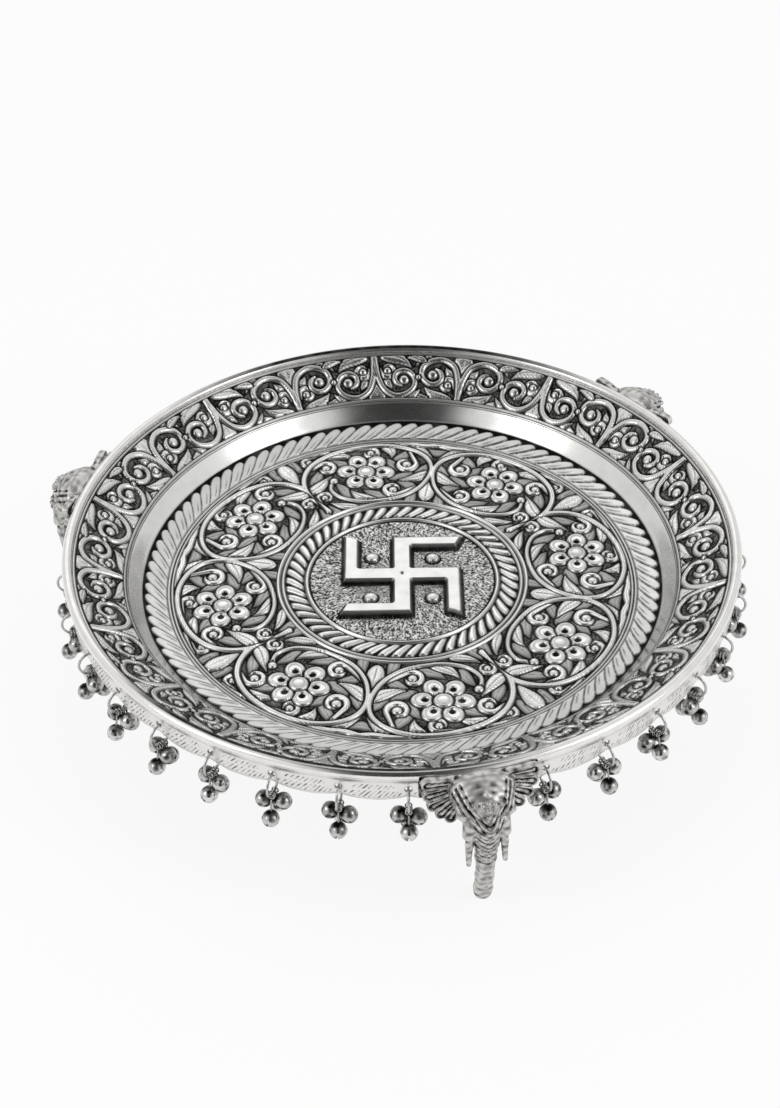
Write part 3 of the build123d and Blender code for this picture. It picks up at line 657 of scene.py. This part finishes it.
# Dish: rim with its vine, ten repeats of two mirrored halves
VINE_START = 5.0
rows = np.linspace(WALL_OUT, RIM_END, 60)
per = 96
step = VINE_HALF / per
u = (np.arange(per) + 0.5) * step * VINE_R
v = (rows - rows[0]) * math.hypot(1, (RIM_RISE - WALL_RISE) / (RIM_OUT - RIM_IN))
V, U = np.meshgrid(v, u, indexing="ij")
h, dk = rim_unit(U, V, VINE_HALF * VINE_R, v[-1])
h = h * soft(RIM_END, RIM_END - 0.7, rows)[:, None]
for half in range(2):
    th = math.radians(VINE_START + 180 * half) + (np.arange(10 * per + 1) + 0.5) * step
    half_ring(f"dish_rim_{half}", th, rows, *mirrored(h, dk), 5)

# Dish: rolled lip and the plain underside
LIP_POINTS = 40
LIP_SEAM = 6
BEAD_INNER = BEAD_R - SHEET + 0.05
around = np.linspace(196, -110, LIP_POINTS)
a = np.radians(around)
lip = [(BEAD_C + BEAD_R * math.cos(q), BEAD_Z + BEAD_R * math.sin(q)) for q in a]
lip += [(BEAD_C + BEAD_INNER * math.cos(q), BEAD_Z + BEAD_INNER * math.sin(q)) for q in a[::-1]]
# Darker on the crest, more so at the back and near the front foot, and a line where the lip meets the rim
crest = np.append(soft(72, 84, around) * soft(142, 126, around), np.zeros(LIP_POINTS))
th = np.arange(360)
darker_arcs = np.maximum(soft(52, 18, np.abs(th - 92)), soft(42, 22, np.abs(th - 254)))
lip_dark = 0.03 + crest[:, None] * (0.1 + 0.85 * darker_arcs)
lip_dark[LIP_SEAM] = 0.6
turned("dish_lip", lip, len(th), lip_metal, lip_dark)
UNDER_DARK = 0.25
radii = np.concatenate([[0.3], np.linspace(20, 88, 6), np.linspace(89, 128.6, 60)])
under = [(r, float(sheet_z(r)) - 0.5) for r in radii]
under += [(r, float(sheet_z(r)) - SHEET - 0.05) for r in radii[::-1]]
turned("dish_underside", under, 240, apron_metal, UNDER_DARK)


# Elephant-head feet: one casting worked out as a solid field and set three times
def surface_net(f, axes):
    # Smooth closed surface through the zero level of a field on a box grid
    inside = f < 0
    n = np.array(f.shape)
    s = inside.astype(np.int8)
    corners = np.ndindex(2, 2, 2)
    cell = sum(s[i : n[0] - 1 + i, j : n[1] - 1 + j, k : n[2] - 1 + k] for i, j, k in corners)
    act = np.argwhere((cell > 0) & (cell < 8))
    index = np.full(cell.shape, -1, np.int64)
    index[tuple(act.T)] = np.arange(len(act))
    total = np.zeros((len(act), 3))
    count = np.zeros(len(act))
    for axis in range(3):
        o1, o2 = [q for q in range(3) if q != axis]
        for b in (0, 1):
            for c in (0, 1):
                p = act.copy()
                p[:, o1] += b
                p[:, o2] += c
                q = p.copy()
                q[:, axis] += 1
                fp, fq = f[tuple(p.T)], f[tuple(q.T)]
                m = (fp < 0) != (fq < 0)
                t = np.where(m, fp / np.where(m, fp - fq, 1), 0)
                pos = p.astype(float)
                pos[:, axis] += t
                total[m] += pos[m]
                count[m] += 1
    verts = total / count[:, None]
    faces = []
    for axis in range(3):
        o1, o2 = (axis + 1) % 3, (axis + 2) % 3
        a = np.moveaxis(inside, axis, 0)
        e = np.argwhere(np.moveaxis(a[1:] != a[:-1], 0, axis))
        e = e[(e[:, o1] > 0) & (e[:, o2] > 0) & (e[:, o1] < n[o1] - 1) & (e[:, o2] < n[o2] - 1)]
        out = inside[tuple(e.T)]
        quad = []
        for b, c in ((1, 1), (0, 1), (0, 0), (1, 0)):
            p = e.copy()
            p[:, o1] -= b
            p[:, o2] -= c
            quad.append(index[tuple(p.T)])
        quad = np.stack(quad, 1)
        quad[~out] = quad[~out][:, ::-1]
        faces.append(quad)
    low = np.array([q[0] for q in axes])
    step = np.array([q[1] - q[0] for q in axes])
    return verts * step + low, np.concatenate(faces)


def blend(a, b, k):
    # Union of two fields with a soft joint of width k
    h = np.clip(0.5 + 0.5 * (b - a) / k, 0, 1)
    return b + (a - b) * h - k * h * (1 - h)


def elephant():
    # T across the foot, R out from the dish's axis, Z up: A is the distance from the middle of the trunk
    step = 0.31
    ax = (np.arange(-22.5, 22.6, step), np.arange(127.5, 153.0, step), np.arange(-0.7, 67.0, step))
    T, R, Z = np.meshgrid(*ax, indexing="ij")
    A = np.abs(T - 1.7 * soft(46, 4, Z))

    def ball(t, r, z, a, b, c):
        q = np.sqrt(((A - t) / a) ** 2 + ((R - r) / b) ** 2 + ((Z - z) / c) ** 2)
        return (q - 1) * min(a, b, c)

    def rod(p, q, ra, rb):
        e = [q[i] - p[i] for i in range(3)]
        h = ((A - p[0]) * e[0] + (R - p[1]) * e[1] + (Z - p[2]) * e[2]) / sum(v * v for v in e)
        h = np.clip(h, 0, 1)
        d = np.sqrt((A - p[0] - e[0] * h) ** 2 + (R - p[1] - e[1] * h) ** 2 + (Z - p[2] - e[2] * h) ** 2)
        return d - (ra + (rb - ra) * h)

    dark = np.full(T.shape, 0.2)
    rho = np.hypot(T, R)
    # Skull with two brow bumps, cheeks and the neck that meets the lip and the apron
    f = ball(0, 138.2, 57.0, 10.6, 7.4, 6.6)
    f = blend(f, ball(0, 135.2, 58.4, 11.4, 4.6, 6.2), 2.5)
    f = blend(f, ball(7.4, 140.4, 53.4, 3.0, 4.6, 4.0), 1.5)
    f = blend(f, ball(5.0, 140.6, 48.8, 2.6, 4.2, 4.6), 1.6)
    fold_line = A - 9.6 + 0.66 * (61.0 - Z)
    for shift, deep in ((0.0, 0.75), (-2.6, 0.4), (2.4, 0.35)):
        line = soft(0.75, 0.15, np.abs(fold_line + shift)) * soft(47, 50, Z) * (R > 137)
        f += deep * line
        dark = np.maximum(dark, (0.55 + 0.5 * deep) * line)
    # Trunk with chevron rings
    axis = (
        (141.6, 55.5, 5.0), (144.6, 49.0, 4.7), (143.4, 40.0, 4.1), (140.2, 28.0, 3.5), (136.2, 14.0, 3.25),
        (133.4, 4.0, 3.35), (132.2, -1.0, 3.0),
    )
    trunk = None
    for (r0, z0, a), (r1, z1, b) in zip(axis, axis[1:]):
        d = rod((0, r0, z0), (0, r1, z1), a, b)
        trunk = d if trunk is None else blend(trunk, d, 1.2)
    phase = (Z - (0.18 + 0.42 * soft(20, 46, Z)) * A) / 2.35
    wave = np.abs(np.sin(np.pi * phase))
    amount = soft(57.5, 54.5, Z + 0.35 * A) * soft(141.0, 143.0, R + 0.35 * (50 - Z))
    lower = 1 - 0.75 * soft(29, 22, Z)
    trunk -= 0.55 * lower * amount * (wave**0.7 - 0.5)
    groove = lower * amount * soft(0.6, 0.12, wave)
    whole = blend(f, trunk, 2.2)
    dark = np.maximum(dark, np.where(trunk < f + 1.0, 0.95 * groove, 0))
    # Mouth, tusks, eyes with lids
    whole = blend(whole, rod((0, 138.0, 43.0), (0, 140.0, 47.0), 2.4, 3.8), 1.5)
    tusk = blend(
        rod((5.7, 143.4, 49.0), (6.3, 143.9, 39.0), 1.8, 1.45),
        rod((6.3, 143.9, 39.0), (6.6, 142.2, 27.5), 1.45, 0.9),
        0.6,
    )
    socket = np.abs(rod((5.7, 143.4, 49.0), (6.1, 143.8, 44.0), 2.4, 2.2)) - 0.35
    whole = blend(whole, np.maximum(socket, 43.4 - Z), 0.5)
    dark = np.where(tusk < trunk + 0.4, np.minimum(dark, 0.22), dark)
    whole = blend(whole, tusk, 0.25)
    almond = np.hypot((A - 8.4) / 0.8, (Z - 53.6) / 0.62) - 2.0
    lid = np.hypot(almond, R - 143.6) - 0.5
    whole = blend(whole, np.maximum(lid, 141.0 - R), 0.35)
    whole = blend(whole, ball(8.45, 143.4, 53.6, 1.1, 1.1, 1.0), 0.1)
    # Fan ears: petals with a raised edge round a sunk leaf
    ear = np.full(T.shape, 9.0)
    ear_dark = np.zeros(T.shape)
    for k in range(5):
        a = math.radians(4.0 - 16.0 * k)
        root = (8.2 - 0.4 * k, 60.6 - 2.4 * k)
        length = (12.6, 12.8, 12.6, 11.6, 10.0)[k]
        u = (A - root[0]) * math.cos(a) + (Z - root[1]) * math.sin(a)
        v = -(A - root[0]) * math.sin(a) + (Z - root[1]) * math.cos(a)
        plan = np.hypot(u - np.clip(u, 2.0, length - 2.2), v) - (1.55 + 0.85 * np.clip(u / length, 0, 1))
        mid = 133.2 + 0.1 * u + 0.1 * (4 - k)
        thick = np.abs(rho - mid) - 1.2
        sunk = soft(-0.55, -0.85, plan) * soft(-1.75, -1.45, plan) * (rho > mid)
        leaf = soft(-1.45, -1.75, plan) * (rho > mid)
        d = np.maximum(plan, thick + 0.7 * sunk + 0.1 * leaf)
        ear_dark = np.where(d < ear, sunk, ear_dark)
        ear = np.minimum(ear, d)
    hard = np.minimum(whole, ear)
    whole = blend(whole, ear, 0.7)
    dark = np.where(ear < np.minimum(trunk, f), np.maximum(dark, ear_dark), dark)
    dark = np.maximum(dark, 0.8 * np.clip((hard - whole) / 0.16, 0, 1))
    # Plate behind the ears, with a dark seam at its ends
    plate = np.maximum(np.maximum(np.abs(T) - 21.0, np.abs(rho - 131.7) - 0.95), np.abs(Z - 57.6) - 4.9)
    seam = soft(0.5, 0.1, np.abs(plate)) * (np.abs(T) > 20.0)
    dark = np.where(plate < np.minimum(whole, ear), np.maximum(0.25, 0.8 * seam), dark)
    whole = np.minimum(whole, plate)
    # Beads across the brow and down its middle
    beads = (
        (0, 145.2, 60.0), (2.2, 145.4, 59.6), (4.3, 145.0, 59.0), (6.3, 143.9, 58.5), (0, 146.2, 57.6),
        (0, 142.6, 62.0), (1.4, 146.5, 57.8),
    )
    for t, r, z in beads:
        whole = np.minimum(whole, ball(t, r, z, 0.95, 1.2, 0.95))
    # Rough cast skin
    for _ in range(9):
        w = rng.normal(size=3)
        w *= rng.uniform(1.4, 3.4) / np.linalg.norm(w)
        ripple = np.sin(A * w[0] + R * w[1] + Z * w[2] + rng.uniform(0, 6))
        whole += 0.018 * ripple
        dark += 0.1 * ripple
    # Seat against the rolled lip and the apron, and a flat foot
    seat_gap = 0.05
    whole = np.maximum(whole, BEAD_R + seat_gap - np.hypot(rho - BEAD_C, Z - BEAD_Z))
    whole = np.maximum(whole, APRON_R + seat_gap - rho)
    whole = np.maximum(whole, -Z)
    verts, faces = surface_net(whole, ax)
    cell = [((v - q[0]) / step).round().astype(int).clip(0, len(q) - 1) for v, q in zip(verts.T, ax)]
    return verts, faces, np.clip(dark[tuple(cell)], 0, 1)


casting, casting_faces, casting_dark = elephant()
for name, az in FEET:
    c, s = math.cos(math.radians(az)), math.sin(math.radians(az))
    t, r, z = casting.T
    verts = np.stack([r * c - t * s, r * s + t * c, z], 1)
    new_object(
        f"elephant_{name}", verts, casting_faces.tolist(), "thali", [f"elephant_foot_{name}"],
        cast_metal, casting_dark,
    )


# Apron strips: scalloped lower edge, a ring hole over each notch, chased feather strokes on the lobes
def scallop(lobes):
    # Height of the lower edge at a place counted in lobes from a strip's end
    return LOBE_Z + (NOTCH_Z - LOBE_Z) * (1 - 2 * np.abs(lobes - np.round(lobes))) ** 2


def apron(name, start, span):
    # S runs along the strip and Z up; the grid is drawn in to a round hole of a few cells at each slot
    arc = math.radians(span / SLOTS) * APRON_R
    per, rows = 72, 31
    hole_r, hole_cells, drawn_cells, end_gap = 1.4, 3, 9, 0.15
    cols = SLOTS * per + 1
    k = np.arange(cols) / per
    edge = scallop(k)
    top = BEAD_Z - 0.8
    share = np.linspace(0, 1, rows)[:, None]
    Z = edge + (top - edge) * share
    S = np.clip(np.broadcast_to(k * arc, Z.shape), end_gap, SLOTS * arc - end_gap)
    row0 = int(round((HOLE_Z - NOTCH_Z) / (top - NOTCH_Z) * (rows - 1)))
    J, I = np.meshgrid(np.arange(rows), np.arange(cols), indexing="ij")
    for slot in range(1, SLOTS):
        i, j = I - slot * per, J - row0
        m = np.maximum(np.abs(i), np.abs(j))
        a = np.arctan2(j, i)
        ring = hole_r + np.maximum(m - hole_cells, 0) * 0.3
        w = np.clip(1 - (m - hole_cells) / 5, 0, 1)
        S = np.where(m < drawn_cells, S * (1 - w) + w * (slot * arc + ring * np.cos(a)), S)
        Z = np.where(m < drawn_cells, Z * (1 - w) + w * (HOLE_Z + ring * np.sin(a)), Z)
    # Strokes slant across each lobe in two tiers, over a line along its edge
    stroke_pitch, stroke_slant, stroke_depth = 1.75, 0.85, 0.14
    up = Z - scallop(S / arc)
    side = (S / arc) % 1 - 0.5
    q = np.abs(((side * arc - stroke_slant * up) / stroke_pitch) % 1 - 0.5) * stroke_pitch
    lobe = np.cos(np.pi * side)
    first = (up > 1.0) & (up < 1.4 + 3.0 * lobe) & (lobe > 0.25)
    second = (up > 5.0) & (up < 5.0 + 2.2 * lobe) & (lobe > 0.6)
    force = 0.62 + 0.38 * np.sin(S * 1.9 + 3.0 * np.sin(S * 0.37))
    cut = soft(0.36, 0.12, q) * (first | second) * force
    cut = np.maximum(cut, 0.3 * soft(0.28, 0.08, np.abs(up - 0.65)))
    ang = math.radians(start) + S / APRON_R
    flare = 1.2 * soft(top - 4.2, top, Z) ** 1.5
    front, back = APRON_R + flare - stroke_depth * cut, APRON_R - SHEET + flare
    verts = [np.stack([q * np.cos(ang), q * np.sin(ang), Z], -1).reshape(-1, 3) for q in (front, back)]
    n = rows * cols
    dark = np.append(0.95 * cut, np.full(n, 0.2))
    at = J * cols + I
    shut = np.ones((rows - 1, cols - 1), bool)
    holes = [(slot * per - hole_cells, slot * per + hole_cells) for slot in range(1, SLOTS)]
    y0, y1 = row0 - hole_cells, row0 + hole_cells
    for x0, x1 in holes:
        shut[y0:y1, x0:x1] = False
    a, b, c, d = (q[shut] for q in (at[:-1, :-1], at[:-1, 1:], at[1:, 1:], at[1:, :-1]))
    faces = np.concatenate([np.stack([a, b, c, d], 1), np.stack([d, c, b, a], 1) + n]).tolist()
    # Edges: bottom, top, both ends and the wall of each hole
    loops = [list(at[0, ::-1]), list(at[-1]), list(at[:, 0]), list(at[::-1, -1])]
    for x0, x1 in holes:
        loop = list(at[y0, x0:x1]) + list(at[y0:y1, x1])
        loops.append(loop + list(at[y1, x1:x0:-1]) + list(at[y1 : y0 - 1 : -1, x0]))
    for loop in loops:
        faces += [(int(p), int(q), int(q) + n, int(p) + n) for p, q in zip(loop, loop[1:])]
    new_object(
        f"chased_apron_{name}", np.concatenate(verts), faces, "thali", [f"apron_{name}"],
        apron_metal, dark,
    )


for name, start, span in STRIPS:
    apron(name, start, span)


# Bell drops: a jump ring in the radial plane with four round bells on their eyes
def hoop(centre, u, v, radius, wire, n, m):
    # A ring of round wire in the plane of u and v: n points round it, m round the wire
    a = np.linspace(0, 2 * np.pi, n, endpoint=False)[:, None]
    b = np.linspace(0, 2 * np.pi, m, endpoint=False)[None, :]
    u, v = np.array(u, float), np.array(v, float)
    w = np.cross(u, v)
    out = (radius + wire * np.cos(b))[..., None]
    p = out * (np.cos(a)[..., None] * u + np.sin(a)[..., None] * v) + (wire * np.sin(b))[..., None] * w
    p = (p + np.array(centre)).reshape(-1, 3)
    i, j = np.meshgrid(np.arange(n), np.arange(m), indexing="ij")
    quad = [i * m + j, (i + 1) % n * m + j, (i + 1) % n * m + (j + 1) % m, i * m + (j + 1) % m]
    return p, np.stack(quad, -1).reshape(-1, 4)


def frame_along(up):
    # Two directions square to a third
    up = np.array(up, float) / np.linalg.norm(up)
    side = np.cross(up, (0.0, 0.0, 1.0)) if abs(up[2]) < 0.7 else np.cross(up, (0.0, 1.0, 0.0))
    side /= np.linalg.norm(side)
    return side, np.cross(up, side), up


def bell(centre, up, tone):
    # A round bell: rows lie square to its sound slit, which is sunk across the bottom
    side, cross, up = frame_along(up)
    half = np.array([6.2, 6.9, 8.2, 13, 22, 34, 48, 64, 80])
    lat = np.radians(np.concatenate([-half[::-1], [0], half]))
    slit_half, rim_half, slit_top, slit_r = math.radians(6.5), math.radians(7.5), -0.22, 2.1
    psi = np.linspace(0, 2 * np.pi, 32, endpoint=False)
    A, P = np.meshgrid(lat, psi, indexing="ij")
    drop = np.cos(A) * np.cos(P)
    slit = (np.abs(A) < slit_half) & (drop < slit_top)
    rim = (np.abs(A) < rim_half) & (drop < slit_top) & ~slit
    rad = np.where(slit, slit_r, BELL_R) + 0.1 * soft(0.09, 0.03, np.abs(drop - 0.08))
    p = rad[..., None] * (
        np.sin(A)[..., None] * cross + (np.cos(A) * np.sin(P))[..., None] * side + drop[..., None] * up
    )
    patch = np.sin(3.1 * P + 9 * tone) * np.sin(4.0 * A + 5 * tone)
    # A bell's darkness: its own tone and tarnish blotches, with painted shade on the cap round its neck and
    # on its underside
    darkening = tone + 0.6 * soft(0.35, 0.85, drop) + 0.5 * soft(0.1, 0.7, patch) + 0.3 * soft(-0.2, -0.8, drop)
    # The sunk slit is painted black as painted shade for the dark inside of an open slit, with a dark edge
    # round it
    dark = np.where(slit, 1.0, np.where(rim, 0.8, np.minimum(darkening, 0.95)))
    p = p.reshape(-1, 3)
    poles = np.array([-BELL_R * cross, BELL_R * cross])
    n, m = A.shape
    faces = [(a, d, c, b) for a, b, c, d in grid_faces(n, m, True)]
    for k in range(m):
        faces.append((k, n * m, (k + 1) % m))
        faces.append(((n - 1) * m + (k + 1) % m, n * m + 1, (n - 1) * m + k))
    return np.vstack([p, poles]) + np.array(centre), faces, np.append(dark.reshape(-1), [tone, tone])


def neck(p, q, radius, m=8):
    # The open tube between a bell and its eye
    side, cross, _ = frame_along(q - p)
    a = np.linspace(0, 2 * np.pi, m, endpoint=False)[:, None]
    ring = radius * (np.cos(a) * side + np.sin(a) * cross)
    faces = [(k, (k + 1) % m, m + (k + 1) % m, m + k) for k in range(m)]
    return np.vstack([ring + p, ring + q]), faces


def drop(number, az):
    # One ring with two upper bells to either side and two lower ones, hung a little differently by turns
    turned_way, extras = ((1, (0.0, 1.2)), (-1, (1.2, 0.0)), (1, (0.6, 0.0)))[number % 3]
    eye_r, eye_wire, neck_r = 1.15, 0.3, 0.39
    verts, faces, dark = [], [], []
    count = 0

    def put(p, fs, tone):
        nonlocal count
        verts.append(p)
        faces.extend(tuple(int(v) + count for v in q) for q in fs)
        dark.append(np.broadcast_to(np.asarray(tone, float), (len(p),)))
        count += len(p)

    ring_z, across = -3.1, np.array((1.0, 0.0, 0.0))
    put(*hoop((0, 0, ring_z), across, (0, 0, 1), RING_R, RING_WIRE, 40, 8), 0.25)
    aside = 3.45
    hung = [((0.584 * k, 0, -8.166), (0.584 * k, k * turned_way * aside, -11.13)) for k in (1, -1)]
    hung += [((1.753 * k, 0, -7.889), (aside * k, 0, -16.079 - e)) for k, e in zip((1, -1), extras)]
    for eye, centre in np.array(hung):
        up = (eye - centre) / np.linalg.norm(eye - centre)
        flat = np.cross(across, up)
        flat /= np.linalg.norm(flat)
        put(*hoop(eye, flat, np.cross(flat, across), eye_r, eye_wire, 18, 6), 0.35)
        put(*neck(eye - 1.2 * up, centre + (BELL_R - 0.1) * up, neck_r), 0.45)
        put(*bell(centre, up, rng.uniform(0.0, 0.35)))
    x, y, z = np.vstack(verts).T
    c, s = math.cos(math.radians(az)), math.sin(math.radians(az))
    x = x + PIVOT_R
    out = np.stack([x * c - y * s, x * s + y * c, z + PIVOT_Z], 1)
    tag = f"{number:02d}"
    new_object(
        f"bells_{tag}", out, faces, f"drop_{tag}", [f"bell_drop_{tag}"], bell_metal,
        np.concatenate(dark),
    )


number = 0
for _, start, span in STRIPS:
    for slot in range(1, SLOTS):
        number += 1
        drop(number, start + slot * span / SLOTS)

# Screws and wire keep their CAD shape
for name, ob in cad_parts.items():
    if name.startswith("foot_screw") or name == "rim_wire":
        ob.data.materials.clear()
        ob.data.materials.append(cast_metal)

# White floor: seen by the camera and in the metal as paper, and lit for the shadow
PAPER_SHARE = 0.87
floor_mat = bpy.data.materials.new("white_floor")
floor_mat.use_nodes = True
nt = floor_mat.node_tree
fb = nt.nodes["Principled BSDF"]
fb.inputs["Base Color"].default_value = (0.95, 0.95, 0.95, 1)
fb.inputs["Roughness"].default_value = 0.9
paper = nt.nodes.new("ShaderNodeEmission")
paper.inputs["Strength"].default_value = 1.0
path = nt.nodes.new("ShaderNodeLightPath")
seen = path.outputs["Is Camera Ray"]
for ray in ("Is Glossy Ray", "Is Transmission Ray"):
    seen = joined(nt, "MAXIMUM", seen, path.outputs[ray])
floor_mix = nt.nodes.new("ShaderNodeMixShader")
nt.links.new(ramp(nt, seen, 0.0, 1.0, 0.0, PAPER_SHARE), floor_mix.inputs["Fac"])
nt.links.new(fb.outputs[0], floor_mix.inputs[1])
nt.links.new(paper.outputs[0], floor_mix.inputs[2])
nt.links.new(floor_mix.outputs[0], nt.nodes["Material Output"].inputs["Surface"])
bpy.ops.mesh.primitive_plane_add(size=8.0, location=(0, 0, -0.0002))
floor = bpy.context.object
floor.name = "floor"
floor.data.materials.append(floor_mat)

# Studio: white all round, but dark overhead and over the near edge of the table
world = bpy.data.worlds.new("studio")
bpy.context.scene.world = world
world.use_nodes = True
nt = world.node_tree
bg = nt.nodes["Background"]
bg.inputs["Color"].default_value = (1, 1, 1, 1)
sky = nt.nodes.new("ShaderNodeTexCoord")
parts = nt.nodes.new("ShaderNodeSeparateXYZ")
nt.links.new(sky.outputs["Generated"], parts.inputs["Vector"])
aside = ramp(nt, joined(nt, "ABSOLUTE", parts.outputs["X"]), 0.22, 0.48, 1.0, 0.0)
ahead = ramp(nt, parts.outputs["Y"], -0.2, 0.25, 1.0, 0.0)
dim = ramp(nt, joined(nt, "MULTIPLY", aside, ahead), 0.0, 1.0, 1.0, 0.04)
rise = ramp(nt, parts.outputs["Z"], 0.05, 0.85, 0.8, 0.9)
nt.links.new(joined(nt, "MULTIPLY", rise, dim), bg.inputs["Strength"])


def area(name, loc, size, power):
    # A soft lamp turned to the dish
    target = (0, 0, 0.04)
    li = bpy.data.lights.new(name, "AREA")
    li.shape = "RECTANGLE"
    li.size, li.size_y = size
    li.energy = power
    ob = bpy.data.objects.new(name, li)
    bpy.context.collection.objects.link(ob)
    ob.location = loc
    ob.rotation_euler = (Vector(target) - Vector(loc)).to_track_quat("-Z", "Y").to_euler()


area("left_box", (-1.0, -0.5, 0.75), (0.45, 0.7), 3)
area("right_box", (1.0, -0.45, 0.75), (0.45, 0.7), 3)
area("back_box", (-0.3, 1.3, 1.1), (1.2, 0.5), 1)

# Camera as fitted to the circles of the dish, with the picture's measures in pixels
CAMERA_DISTANCE = 0.8313
CAMERA_RISE = math.radians(40.215)
CAMERA_ROLL = math.radians(-0.809)
PICTURE_HEIGHT = 1108
FOCAL_LENGTH = 2090.5
SHIFT_X, SHIFT_Y = -12.22, 25.34
SENSOR = 36.0
cam = bpy.data.cameras.new("camera")
cam_ob = bpy.data.objects.new("camera", cam)
bpy.context.collection.objects.link(cam_ob)
target = Vector((0, 0, FLOOR_Z * MM))
cam_ob.location = target + CAMERA_DISTANCE * Vector((0, -math.cos(CAMERA_RISE), math.sin(CAMERA_RISE)))
look = (target - cam_ob.location).to_track_quat("-Z", "Y")
cam_ob.rotation_euler = (look.to_matrix() @ Matrix.Rotation(CAMERA_ROLL, 3, "Z")).to_euler()
cam.sensor_fit = "VERTICAL"
cam.sensor_height = SENSOR
cam.lens = FOCAL_LENGTH / PICTURE_HEIGHT * SENSOR
cam.shift_x = SHIFT_X / PICTURE_HEIGHT
cam.shift_y = SHIFT_Y / PICTURE_HEIGHT
cam.dof.use_dof = False
bpy.context.scene.camera = cam_ob
bpy.context.scene.view_settings.view_transform = "Standard"
